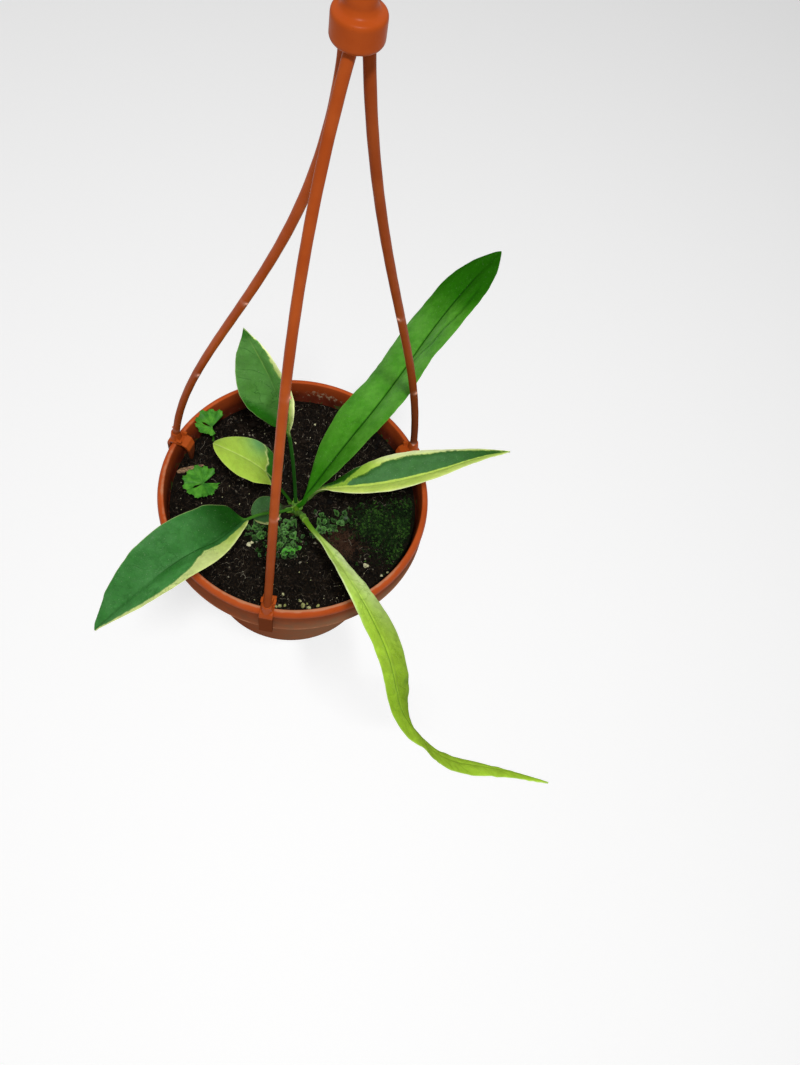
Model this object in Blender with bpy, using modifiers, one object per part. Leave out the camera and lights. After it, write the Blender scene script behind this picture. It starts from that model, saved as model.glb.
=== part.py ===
"""A potted anthurium in a hanging pot with a clip-on hanger.

Metres, +Z up. The origin is where the hook bears. Every piece hangs under an empty at the
centre of the rim's top, with one clip of the hanger at the front, towards -Y.
"""

import math

import bmesh
import bpy
import numpy as np
from mathutils import Matrix, Vector

MM = 0.001
NAME = "potted_anthurium"

# Gap kept between pieces that touch
GAP = 0.3 * MM

# Pot: radii, and heights below the rim's top
RIM_RADIUS = 70 * MM
LIP_RADIUS = 66.5 * MM
SHOULDER = 2 * MM
COLLAR_DEPTH = 19 * MM
COLLAR_INNER_DEPTH = 16.5 * MM
LIP_TAPER = 0.9 * MM
NECK_RADIUS = 63.9 * MM
BASE_RADIUS = 48.6 * MM
POT_HEIGHT = 100 * MM
WALL = 2 * MM
FLOOR = 2.6 * MM
FOOT_ROUND = 1.2 * MM
DRAIN_HOLES = 8
DRAIN_RADIUS = 3.5 * MM
DRAIN_CIRCLE = 33 * MM
TURN_STEPS = 64

# Soil: level at the crown, and how much lower it lies at the wall
SOIL_LEVEL = -12.7 * MM
SOIL_FALL = 2.5 * MM
SOIL_RINGS = 11
SOIL_CALM = 9 * MM
HOLE_OVERRUN = 4 * MM
SOIL_WAVES = ((0.55, 9.0, 4.0, 0.3), (0.4, -5.2, 6.1, 1.9), (0.3, 3.1, -4.4, 4.0))

# Crown, in which the leaves root
CROWN_AT = (1.5 * MM, -6.5 * MM)
CROWN_RADIUS = 5.9 * MM
CROWN_TOP = -5.4 * MM
CROWN_STEPS = 16
ROOT_RADIUS = 4 * MM
ROOT_DEPTH = -21 * MM
# The crown's outline: share of its radius, and mm below its top
CROWN_OUTLINE = ((0, 0), (0.62, 0.1), (0.86, 1.2), (1, 3.2), (0.93, 5.2))

# Hanger: arms of one rod size that run from three clips up to a hub off the pot's axis
ROD_RADIUS = 1.85 * MM
ARM_FOOT_RADIUS = 68 * MM
ARM_FOOT_HEIGHT = 4 * MM
ARM_POINTS = 26
ROD_BEVEL = 2
HUB_AT = (10 * MM, -5 * MM)
HUB_HEIGHT = 260 * MM
HUB_RADIUS = 7.5 * MM
HUB_PITCH = 3 * MM
HUB_STEPS = 24
# The hub's outline: share of its radius, and mm above its middle
HUB_OUTLINE = ((0, 10), (0.5, 9.5), (0.6, 5), (0.95, 3), (1, 2), (1, -4), (0.9, -5), (0, -5))
# Each arm: clip bearing in degrees, then outward and sideways bow at its foot and at its head
ARMS = {
    "left": (166.5, -8.4, -4.7, 1.0, -4.0),
    "front": (269.8, -1.9, 2.9, 14.0, -16.0),
    "right": (34.0, -4.8, 4.8, 10.0, 2.0),
}

# Hook above the hub
HOOK_RADIUS = 12 * MM
HOOK_ROD = 2.5 * MM
HOOK_RISE = 28 * MM
HOOK_BEARING = HUB_HEIGHT + HOOK_RISE + HOOK_RADIUS - HOOK_ROD

# Clips that saddle the rim
CLIP_WIDTH = 6.8 * MM
CLIP_THICK = 1.7 * MM
# The clip's tongue narrows to this share of its width below this height
CLIP_TIP_WIDTH = 0.35
CLIP_TIP_TOP = -9 * MM
SOCKET_RADIUS = 3.2 * MM
SOCKET_BOTTOM = 1 * MM
SOCKET_TOP = 7 * MM
EAR_INSET = 3.4 * MM
EAR_SPREAD = 2.7 * MM
EAR_HEIGHT = 2.9 * MM
EAR_SIZE = (3.0 * MM, 1.5 * MM, 5.0 * MM)
EAR_FLARE = 22

# Leaves: a folded blade on a round stalk
BLADE_THICK = 0.7 * MM
SMOOTHING = 10 * MM
RING_SPACING = 5.5 * MM
BLEND_LENGTH = 9 * MM
MIDRIB_HALF = 1.1 * MM
TIP_HALF = 0.5 * MM
OUTER_COLUMN = 0.58
STALK_START = -5 * MM

# For each leaf, stations give the distance along it in mm, then bearing, climb and lean in degrees.
# widest is where the blade is widest, from 0 at its base to 1 at its tip, and the two powers set how
# full its outline is on either side. fold is how far each half is raised, at the base and the tip.
LEAVES = {
    "leaf_tall": dict(
        root=(4.8, -30), stalk=20, radius=1.6, half_width=22.5, widest=0.79, powers=(0.47, 0.75),
        fold=(14, 2), wave=(0.5, 3.5), colour="4f8a2f",
        stations=((0, 41, 88, -29.5), (10, 31.5, 88, -29.5), (22, 60.5, 29, -33.5), (60, 62.5, 10, -34.5),
                  (110, 64.5, 23.5, -47), (176, 47.5, 35, -37.5)),
    ),
    "leaf_right": dict(
        root=(4.6, 20), stalk=25, radius=1.1, half_width=15.6, widest=0.45, powers=(0.62, 0.96),
        fold=(27, 21), wave=(0.2, 2.0), colour="2f5f45",
        stations=((0, 3, 74, -18), (12, 1, 73, -18.5), (25, -14, 42, -19.5), (59, 16.5, 13.5, -22),
                  (93, 29.5, 8.5, -35.5), (122, 24.5, -3, -33.5)),
    ),
    "leaf_left": dict(
        root=(4.8, -125), stalk=33, radius=1.05, half_width=19.2, widest=0.4, powers=(0.71, 0.72),
        fold=(47, 34), wave=(0.3, 2.0), colour="2d6a2a",
        stations=((0, 231, 42.5, 13), (18, 226, 44, 13.5), (37, 238.5, 26, 16), (64, 232, 12, -3),
                  (93, 227.5, -21, 6), (127, 222, -36, 27)),
    ),
    "leaf_back": dict(
        root=(4.6, 100), stalk=47, radius=1.0, half_width=16.6, widest=0.43, powers=(0.65, 0.75),
        fold=(40, 28), wave=(0.2, 2.0), colour="3f7f33",
        stations=((0, 125, 78.5, -51), (24, 122, 77, -55.5), (47, 126.5, 66.5, -66), (69, 145.5, 62.5, -63),
                  (88, 158, 61.5, -78.5), (108, 169, 62.5, -78)),
    ),
    "leaf_young": dict(
        root=(4.6, 155), stalk=23, radius=0.9, half_width=13.3, widest=0.44, powers=(0.59, 0.6),
        fold=(28, -13), wave=(0.2, 2.0), colour="9fbf3f",
        stations=((0, 186.5, 72.5, 8.5), (12, 185.5, 68, 9), (25, 179, 59.5, 10), (41, 181, 36.5, 12.5),
                  (60, 181, 23, 16)),
    ),
    "leaf_trailing": dict(
        root=(5.4, -85), stalk=48, radius=1.9, half_width=10.3, widest=0.47, powers=(0.7, 0.61),
        fold=(23, -18), wave=(0.2, 3.0), colour="b5cf62",
        stations=((0, -63.5, 69, -31.5), (25, -69.5, 52, -32.5), (52, -48.5, 23, -35.5),
                  (78, -50, 10.5, -33), (106, -51, -11.5, -29), (136, -71, -28.5, -49),
                  (161, -2.5, -74, -44), (181, -18.5, -48.5, -58), (209, 8, -22, -48),
                  (257, -3.5, -15.5, -64.5)),
    ),
    "leaf_small": dict(
        root=(5.4, -165), stalk=2, radius=0.8, half_width=7.3, widest=0.45, powers=(0.6, 0.55),
        fold=(8, 8), wave=(0.2, 1.5), colour="4a6a3c",
        stations=((0, 200, -6, 0), (8, 202, -10, 0), (16, 206, -14, 0)),
    ),
}

# Seedlings: one scalloped round leaf each, with a wide notch and a short slit at the stem.
# at is the stem's place, reach the blade's mean size and its lengthening, bearings in degrees.
SEEDLING_THICK = 0.6 * MM
SEEDLING_STEM = 0.65 * MM
SEEDLING_DEPTH = 4 * MM
SEEDLING_RISE = 1.5 * MM
SEEDLING_RIPPLE = 0.7 * MM
SEEDLING_RINGS = 5
SEEDLING_SECTORS = 44
SCALLOP = 0.06
SEEDLINGS = {
    "seedling_front": dict(
        at=(-46.5, -3.5), height=-5, reach=(9.4, 1.6), long_way=170, notch=(4, 68), slit=222, scallops=13,
    ),
    "seedling_back": dict(
        at=(-50.5, 28), height=-1, reach=(7.6, 1.6), long_way=105, notch=(-48, 46), slit=166, scallops=12,
    ),
}

# Bark chip beside the left clip
BARK_SIZE = (13 * MM, 3.4 * MM, 1.1 * MM)
BARK_AT = (-57.2 * MM, 7.2 * MM)
BARK_TURN = 31
BARK_TAPER = 0.45


def clear_scene():
    for obj in list(bpy.data.objects):
        bpy.data.objects.remove(obj, do_unlink=True)


def linear(value):
    """One channel of a screen colour as a linear value."""
    return value / 12.92 if value <= 0.04045 else ((value + 0.055) / 1.055) ** 2.4


def material(name, colour, roughness):
    made = bpy.data.materials.new(name)
    made.use_nodes = True
    shader = made.node_tree.nodes["Principled BSDF"]
    channels = [linear(int(colour[i:i + 2], 16) / 255) for i in (0, 2, 4)]
    shader.inputs["Base Color"].default_value = (*channels, 1)
    shader.inputs["Roughness"].default_value = roughness
    shader.inputs["Metallic"].default_value = 0
    return made


def add_object(name, mesh, finish=None, collection=None):
    """A piece of the plant, placed under the rim's centre."""
    obj = bpy.data.objects.new(name, mesh)
    (collection or parts).objects.link(obj)
    obj.parent = rim_centre
    if finish:
        mesh.materials.clear()
        mesh.materials.append(finish)
    return obj


def add_cutter(name, mesh):
    obj = add_object(name, mesh, collection=cutters)
    obj.hide_render = True
    obj.display_type = "WIRE"
    return obj


def evaluated_mesh(obj):
    """The object's mesh with its modifiers applied and its loose caps joined."""
    graph = bpy.context.evaluated_depsgraph_get()
    mesh = bpy.data.meshes.new_from_object(obj.evaluated_get(graph), depsgraph=graph)
    edit = bmesh.new()
    edit.from_mesh(mesh)
    bmesh.ops.remove_doubles(edit, verts=edit.verts, dist=0.00001)
    bmesh.ops.recalc_face_normals(edit, faces=edit.faces)
    edit.to_mesh(mesh)
    edit.free()
    return mesh


def settle(obj):
    """Applies the object's modifiers, or makes a curve a mesh."""
    mesh = evaluated_mesh(obj)
    if obj.type == "MESH":
        obj.modifiers.clear()
        obj.data = mesh
        return obj
    new = add_object(obj.name + "_mesh", mesh, collection=obj.users_collection[0])
    new.matrix_world = obj.matrix_world
    bpy.data.objects.remove(obj, do_unlink=True)
    return new


def turned(name, profile, steps):
    """A body turned round the Z axis, from a profile that runs out, up and down its outer side."""
    mesh = bpy.data.meshes.new(name)
    corners = [(radius, 0, height) for radius, height in profile]
    mesh.from_pydata(corners, [(i, i + 1) for i in range(len(corners) - 1)], [])
    obj = bpy.data.objects.new(name, mesh)
    parts.objects.link(obj)
    obj.parent = rim_centre
    screw = obj.modifiers.new("turn", "SCREW")
    screw.steps = steps
    screw.render_steps = steps
    screw.use_merge_vertices = True
    screw.merge_threshold = 0.00001
    screw.use_smooth_shade = True
    return obj


def smooth_shading(obj, angle=35):
    obj.data.shade_smooth()
    obj.data.set_sharp_from_angle(angle=math.radians(angle))


def arc(centre, radius, start, end, count):
    """Points of an arc, with its angles in degrees."""
    turns = [math.radians(start + (end - start) * i / (count - 1)) for i in range(count)]
    return [(centre[0] + radius * math.cos(a), centre[1] + radius * math.sin(a)) for a in turns]


def inner_wall(inset=0.0):
    """The pot's inside from its floor to its lip, moved in by inset."""
    return [
        (BASE_RADIUS - WALL - FOOT_ROUND - inset, -POT_HEIGHT + FLOOR + inset),
        (BASE_RADIUS - WALL - inset, -POT_HEIGHT + FLOOR + FOOT_ROUND + inset),
        (NECK_RADIUS - inset, -COLLAR_DEPTH - inset / 2),
        (LIP_RADIUS - LIP_TAPER - inset, -COLLAR_INNER_DEPTH),
        (LIP_RADIUS - inset, -SHOULDER / 2),
    ]


def wall_radius(height, inset):
    """The radius of the inner wall at a height within the collar."""
    low, high = inner_wall(inset)[-2:]
    share = (height - low[1]) / (high[1] - low[1])
    return low[0] + share * (high[0] - low[0])


def make_pot():
    lip_round = SHOULDER / 4
    top_inner = (LIP_RADIUS + lip_round, 0)
    shoulder = arc((RIM_RADIUS - SHOULDER, -SHOULDER), SHOULDER, 90, 0, 5)
    outer = [
        (RIM_RADIUS, -COLLAR_DEPTH + lip_round),
        (RIM_RADIUS - lip_round, -COLLAR_DEPTH),
        (NECK_RADIUS + WALL, -COLLAR_DEPTH),
        (BASE_RADIUS, -POT_HEIGHT + FOOT_ROUND),
        (BASE_RADIUS - FOOT_ROUND, -POT_HEIGHT),
        (0, -POT_HEIGHT),
    ]
    profile = [(0, -POT_HEIGHT + FLOOR)] + inner_wall() + [top_inner] + shoulder + outer
    pot = turned("pot", profile, TURN_STEPS)
    pot.data.materials.append(material("pot_plastic", "b4552b", 0.5))

    holes = bpy.data.collections.new("drain_hole_cutters")
    cutters.children.link(holes)
    for index in range(DRAIN_HOLES):
        turn = 2 * math.pi * (index + 0.5) / DRAIN_HOLES
        edit = bmesh.new()
        bmesh.ops.create_cone(
            edit, cap_ends=True, segments=12, radius1=DRAIN_RADIUS, radius2=DRAIN_RADIUS, depth=4 * FLOOR,
        )
        mesh = bpy.data.meshes.new("drain_hole")
        edit.to_mesh(mesh)
        edit.free()
        hole = add_cutter(f"drain_hole_{index + 1}", mesh)
        cutters.objects.unlink(hole)
        holes.objects.link(hole)
        hole.location = (DRAIN_CIRCLE * math.cos(turn), DRAIN_CIRCLE * math.sin(turn), -POT_HEIGHT)
    cut = pot.modifiers.new("drain_holes", "BOOLEAN")
    cut.operand_type = "COLLECTION"
    cut.collection = holes
    smooth_shading(settle(pot))


def soil_height(x, y):
    """The soil's top: a low dome with small waves, calm round the crown."""
    reach = math.hypot(x, y) / LIP_RADIUS
    height = SOIL_LEVEL - SOIL_FALL * reach ** 2
    calm = min(1, math.hypot(x - CROWN_AT[0], y - CROWN_AT[1]) / SOIL_CALM) ** 2
    waves = sum(
        size * math.sin(x / MM / across + y / MM / along + phase)
        for size, across, along, phase in SOIL_WAVES
    )
    return height + waves * calm * min(1, 4 * (1 - reach)) * MM


def make_soil():
    edge_height = SOIL_LEVEL - SOIL_FALL
    edge = (wall_radius(edge_height, GAP), edge_height)
    bottom = [(0, -POT_HEIGHT + FLOOR + GAP)] + inner_wall(GAP)[:-1]
    top = [(edge[0] * (1 - i / SOIL_RINGS), edge_height) for i in range(SOIL_RINGS + 1)]
    soil = turned("soil", bottom + top, TURN_STEPS)
    settle(soil)
    soil.data.materials.append(material("peat", "2b221c", 0.95))
    for vertex in soil.data.vertices:
        if abs(vertex.co.z - edge_height) < GAP / 10:
            vertex.co.z = soil_height(vertex.co.x, vertex.co.y)

    stems = [(CROWN_AT, ROOT_RADIUS, ROOT_DEPTH)]
    for seedling in SEEDLINGS.values():
        x, y = (value * MM for value in seedling["at"])
        stems.append(((x, y), SEEDLING_STEM, stem_foot(x, y)))
    for index, ((x, y), radius, depth) in enumerate(stems):
        edit = bmesh.new()
        height = soil_height(x, y) + HOLE_OVERRUN - (depth - GAP)
        bmesh.ops.create_cone(
            edit, cap_ends=True, segments=CROWN_STEPS, radius1=radius + GAP, radius2=radius + GAP, depth=height,
        )
        mesh = bpy.data.meshes.new("stem_hole")
        edit.to_mesh(mesh)
        edit.free()
        hole = add_cutter(f"stem_hole_{index + 1}", mesh)
        hole.location = (x, y, depth - GAP + height / 2)
        cut = soil.modifiers.new(f"stem_hole_{index + 1}", "BOOLEAN")
        cut.object = hole
    smooth_shading(settle(soil), 60)


def make_crown():
    head = [(share * CROWN_RADIUS, CROWN_TOP - drop * MM) for share, drop in CROWN_OUTLINE]
    taproot = [
        (ROOT_RADIUS, head[-1][1] - 1.2 * MM),
        (ROOT_RADIUS, ROOT_DEPTH + 1 * MM),
        (ROOT_RADIUS - 1 * MM, ROOT_DEPTH),
        (0, ROOT_DEPTH),
    ]
    crown = turned("crown", head + taproot, CROWN_STEPS)
    crown.location = (*CROWN_AT, 0)
    crown.data.materials.append(material("crown_skin", "6f6a35", 0.7))
    smooth_shading(settle(crown))


def along(stations, column, places):
    """One angle of the stations, smoothed, at each place along the leaf."""
    step = 0.5 * MM
    distances = np.array([row[0] * MM for row in stations])
    grid = np.arange(-2 * SMOOTHING, distances[-1] + 2 * SMOOTHING, step)
    raw = np.interp(grid, distances, [row[column] for row in stations])
    window = np.ones(int(SMOOTHING / step) + 1)
    return np.radians(np.interp(places, grid, np.convolve(raw, window / window.size, mode="same")))


def headings(stations, places):
    """Unit directions along the leaf at the places, with their bearing and climb."""
    bearing = along(stations, 1, places)
    climb = along(stations, 2, places)
    ahead = np.stack((np.cos(climb) * np.cos(bearing), np.cos(climb) * np.sin(bearing), np.sin(climb)), 1)
    return ahead, bearing


def leaf_course(spec, places):
    """Where the midrib runs, and the leaf's own ahead, left and up directions there."""
    turn = math.radians(spec["root"][1])
    reach = spec["root"][0] * MM
    start = (CROWN_AT[0] + reach * math.cos(turn), CROWN_AT[1] + reach * math.sin(turn), STALK_START)
    fine = np.linspace(0, places[-1], 400)
    middle = (fine[1:] + fine[:-1]) / 2
    steps = headings(spec["stations"], middle)[0] * np.diff(fine)[:, None]
    path = np.array(start) + np.vstack((np.zeros(3), np.cumsum(steps, axis=0)))
    points = np.stack([np.interp(places, fine, path[:, axis]) for axis in range(3)], 1)

    ahead, bearing = headings(spec["stations"], places)
    level = np.stack((-np.sin(bearing), np.cos(bearing), 0 * bearing), 1)
    lean = along(spec["stations"], 3, places)[:, None]
    left = np.cos(lean) * level + np.sin(lean) * np.cross(ahead, level)
    return points, left, np.cross(ahead, left)


def half_width(spec, share):
    """Half the blade's width, from 0 at its base to 1 at its tip."""
    widest = spec["widest"]
    if share < widest:
        fullness = math.sin(math.pi / 2 * share / widest) ** spec["powers"][0]
    else:
        fullness = math.cos(math.pi / 2 * (share - widest) / (1 - widest)) ** spec["powers"][1]
    return max(spec["half_width"] * MM * fullness, TIP_HALF)


def leaf_places(spec):
    """Where the rings lie along the leaf, closer together at both ends of the blade."""
    stalk = spec["stalk"] * MM
    length = spec["stations"][-1][0] * MM
    stalk_rings = max(1, round(stalk / RING_SPACING))
    blade_rings = round((length - stalk) / RING_SPACING) + 4
    shares = [0.5 - 0.5 * math.cos(math.pi * i / blade_rings) for i in range(blade_rings + 1)]
    on_stalk = [stalk * i / stalk_rings for i in range(stalk_rings)]
    return np.array(on_stalk + [stalk + (length - stalk) * share for share in shares])


def leaf_ring(spec, place, point, left, up):
    """The points across the leaf's top, right to left, then those across its underside."""
    stalk = spec["stalk"] * MM
    length = spec["stations"][-1][0] * MM
    radius = spec["radius"] * MM
    share = min(1, max(0, (place - stalk) / (length - stalk)))
    blend = min(1, max(0, (place - stalk) / min(BLEND_LENGTH, (length - stalk) / 3)))
    blend = blend * blend * (3 - 2 * blend)

    half = max(half_width(spec, share), radius * (1 - share))
    rib = min(MIDRIB_HALF, 0.3 * half)
    fold = math.radians(spec["fold"][0] + (spec["fold"][1] - spec["fold"][0]) * share)
    across = (-half, -OUTER_COLUMN * half, -rib, 0, rib, OUTER_COLUMN * half, half)
    height, waves = spec["wave"]
    thick = BLADE_THICK / 2 / math.cos(fold)
    ring = []
    for side in (1, -1):
        for index, offset in enumerate(across):
            swing = math.sin(2 * math.pi * waves * share + (1 if offset > 0 else 2.4))
            ripple = height * MM * swing * math.sin(math.pi * share) * (offset / half) ** 2
            keel = 0.8 * radius * (1 - share) if side < 0 and offset == 0 else 0
            flat = (offset * math.cos(fold), abs(offset) * math.sin(fold) + ripple + side * thick - keel)
            angle = side * math.radians(167 - 154 * index / 6)
            round_ = (radius * math.cos(angle), radius * math.sin(angle))
            sideways = flat[0] * blend + round_[0] * (1 - blend)
            upward = flat[1] * blend + round_[1] * (1 - blend)
            ring.append(point + left * sideways + up * upward)
    return ring


def make_leaf(name, spec):
    """A loft from a round stalk to a thin folded blade, split alike on both faces."""
    places = leaf_places(spec)
    points, lefts, ups = leaf_course(spec, places)
    edit = bmesh.new()
    rings = []
    for place, point, left, up in zip(places, points, lefts, ups):
        rings.append([edit.verts.new(corner) for corner in leaf_ring(spec, place, point, left, up)])
    count = len(rings[0]) // 2
    for near, far in zip(rings, rings[1:]):
        for i in range(count - 1):
            j = count + i
            edit.faces.new((near[i], far[i], far[i + 1]))
            edit.faces.new((near[i], far[i + 1], near[i + 1]))
            edit.faces.new((near[j], far[j + 1], far[j]))
            edit.faces.new((near[j], near[j + 1], far[j + 1]))
        edit.faces.new((near[count - 1], far[count - 1], far[-1], near[-1]))
        edit.faces.new((near[0], near[count], far[count], far[0]))
    for ring, turn_round in ((rings[0], False), (rings[-1], True)):
        loop = ring[:count] + ring[:count - 1:-1]
        edit.faces.new(loop[::-1] if turn_round else loop)
    mesh = bpy.data.meshes.new(name)
    edit.to_mesh(mesh)
    edit.free()
    leaf = add_object(name, mesh, material(name + "_skin", spec["colour"], 0.4))
    smooth_shading(leaf, 50)


def stem_foot(x, y):
    """How deep a seedling's stem stands in the soil."""
    return soil_height(x, y) - SEEDLING_DEPTH


def make_seedling(name, spec):
    """A thin scalloped blade spread from the stem's top, notched and slit, and its stem."""
    x, y = (value * MM for value in spec["at"])
    height = spec["height"] * MM
    notch_start, notch_end = spec["notch"]
    bearings = np.linspace(notch_end, notch_start + 360, SEEDLING_SECTORS + 1)
    edit = bmesh.new()
    centre = edit.verts.new((x, y, height))
    rings = []
    for ring in range(1, SEEDLING_RINGS + 1):
        share = ring / SEEDLING_RINGS
        row = []
        for bearing in bearings:
            turn = math.radians(bearing)
            reach = spec["reach"][0] + spec["reach"][1] * math.cos(turn - math.radians(spec["long_way"]))
            swell = 1 + SCALLOP * (abs(math.sin(spec["scallops"] * turn / 2)) - 0.5) * 2 * share ** 3
            radius = reach * MM * share * swell
            ripple = SEEDLING_RIPPLE * math.sin(spec["scallops"] * turn / 2)
            rise = (SEEDLING_RISE + ripple) * share ** 2
            corner = (x + radius * math.cos(turn), y + radius * math.sin(turn), height + rise)
            row.append(edit.verts.new(corner))
        rings.append(row)
    slit = int(np.argmin(abs((bearings - spec["slit"] + 180) % 360 - 180)))
    for i in range(SEEDLING_SECTORS):
        edit.faces.new((centre, rings[0][i], rings[0][i + 1]))
        for level, (near, far) in enumerate(zip(rings, rings[1:])):
            if i == slit and level < 2:
                continue
            edit.faces.new((near[i], far[i], far[i + 1]))
            edit.faces.new((near[i], far[i + 1], near[i + 1]))
    mesh = bpy.data.meshes.new(name)
    edit.to_mesh(mesh)
    edit.free()
    seedling = add_object(name, mesh, material(name + "_skin", "4fa62f", 0.5))
    shell = seedling.modifiers.new("thickness", "SOLIDIFY")
    shell.thickness = SEEDLING_THICK
    shell.offset = 0

    foot = stem_foot(x, y)
    edit = bmesh.new()
    bmesh.ops.create_cone(
        edit, cap_ends=True, segments=8, radius1=SEEDLING_STEM, radius2=SEEDLING_STEM,
        depth=height - foot, matrix=Matrix.Translation((x, y, (height + foot) / 2)),
    )
    stem_mesh = bpy.data.meshes.new(name + "_stem")
    edit.to_mesh(stem_mesh)
    edit.free()
    stem = add_cutter(name + "_stem", stem_mesh)
    joined = seedling.modifiers.new("stem", "BOOLEAN")
    joined.operation = "UNION"
    joined.object = stem
    smooth_shading(settle(seedling), 50)


def make_bark_chip():
    edit = bmesh.new()
    bmesh.ops.create_cube(edit, size=1, matrix=Matrix.Diagonal((*BARK_SIZE, 1)))
    bmesh.ops.bevel(edit, geom=edit.edges[:], offset=0.3 * MM, segments=1, affect="EDGES", profile=0.5)
    for vertex in edit.verts:
        vertex.co.y *= 1 - BARK_TAPER * (vertex.co.x / BARK_SIZE[0] + 0.5)
    mesh = bpy.data.meshes.new("bark_chip")
    edit.to_mesh(mesh)
    edit.free()
    chip = add_object("bark_chip", mesh, material("bark", "8a6a4d", 0.85))
    turn = math.radians(BARK_TURN)
    half = BARK_SIZE[0] / 2
    under = []
    for i in range(-4, 5):
        for side in (-1, 0, 1):
            x, y = half * i / 4, side * BARK_SIZE[1] / 2
            under.append(soil_height(
                BARK_AT[0] + math.cos(turn) * x - math.sin(turn) * y,
                BARK_AT[1] + math.sin(turn) * x + math.cos(turn) * y,
            ))
    chip.location = (*BARK_AT, max(under) + GAP + BARK_SIZE[2] / 2)
    chip.rotation_euler = (0, 0, turn)


def cubic(start, first, second, end, count):
    """Evenly numbered points of a cubic curve."""
    points = []
    for i in range(count):
        t = i / (count - 1)
        points.append((1 - t) ** 3 * start + 3 * (1 - t) ** 2 * t * first
                      + 3 * (1 - t) * t ** 2 * second + t ** 3 * end)
    return points


def rod(name, points, radius, collection):
    """A round rod along the points, as a closed mesh."""
    curve = bpy.data.curves.new(name, "CURVE")
    curve.dimensions = "3D"
    curve.bevel_depth = radius
    curve.bevel_resolution = ROD_BEVEL
    curve.use_fill_caps = True
    line = curve.splines.new("POLY")
    line.points.add(len(points) - 1)
    for place, point in zip(line.points, points):
        place.co = (*point, 1)
    obj = bpy.data.objects.new(name, curve)
    collection.objects.link(obj)
    obj.parent = rim_centre
    return settle(obj)


def arm_points(bearing, foot_out, foot_side, head_out, head_side):
    """An arm's curve from the foot in its clip up to the hub."""
    turn = math.radians(bearing)
    out = Vector((math.cos(turn), math.sin(turn), 0))
    side = Vector((-math.sin(turn), math.cos(turn), 0))
    rise = Vector((0, 0, HUB_HEIGHT))
    foot = out * ARM_FOOT_RADIUS + Vector((0, 0, ARM_FOOT_HEIGHT))
    head = Vector((*HUB_AT, HUB_HEIGHT)) + out * HUB_PITCH
    first = foot + (out * foot_out + side * foot_side) * MM + 0.3 * rise
    second = head + (out * head_out + side * head_side) * MM - 0.35 * rise
    return cubic(foot, first, second, head, ARM_POINTS)


def hook_points():
    """The hook's rod, from inside the hub round to its tip."""
    centre = HUB_HEIGHT + HOOK_RISE
    ring = arc((0, centre), HOOK_RADIUS, -45, 215, 20)
    shank = cubic(
        Vector((0, HUB_HEIGHT)), Vector((0, HUB_HEIGHT + 0.5 * HOOK_RISE)),
        Vector((ring[0][0] - 5 * MM, ring[0][1] - 5 * MM)), Vector(ring[0]), 7,
    )
    return [(HUB_AT[0] + x, HUB_AT[1], z) for x, z in list(map(tuple, shank))[:-1] + ring]


def clip_outline():
    """The clip's section across the rim, in distance from the axis and height."""
    outside = RIM_RADIUS + GAP
    inside = LIP_RADIUS - 0.5 * MM
    half = CLIP_THICK / 2
    middle = [
        (outside + half, -COLLAR_DEPTH - 1.2 * MM),
        (outside + half, -1.5 * MM),
        (outside + 0.2 * MM, 0.5 * MM),
        (outside - 1.5 * MM, GAP + half),
        (inside, GAP + half),
        (inside - 2.5 * MM, 1.9 * MM),
        (inside - 4.6 * MM, 1.0 * MM),
        (inside - 5.8 * MM, -1.5 * MM),
        (inside - 5.9 * MM, -8 * MM),
        (inside - 5.3 * MM, -13.7 * MM),
    ]
    left_side, right_side = [], []
    for i, (x, z) in enumerate(middle):
        before = Vector(middle[max(0, i - 1)])
        after = Vector(middle[min(len(middle) - 1, i + 1)])
        ahead = (after - before).normalized()
        left_side.append((x - ahead.y * half, z + ahead.x * half))
        right_side.append((x + ahead.y * half, z - ahead.x * half))
    barb = [(outside, -COLLAR_DEPTH - GAP), (outside - 1.6 * MM, -COLLAR_DEPTH - GAP),
            (outside - 1.2 * MM, -COLLAR_DEPTH - 1.2 * MM)]
    inner = [corner for corner in left_side if corner[1] > -COLLAR_DEPTH]
    return right_side[::-1] + barb[::-1] + inner


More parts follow.
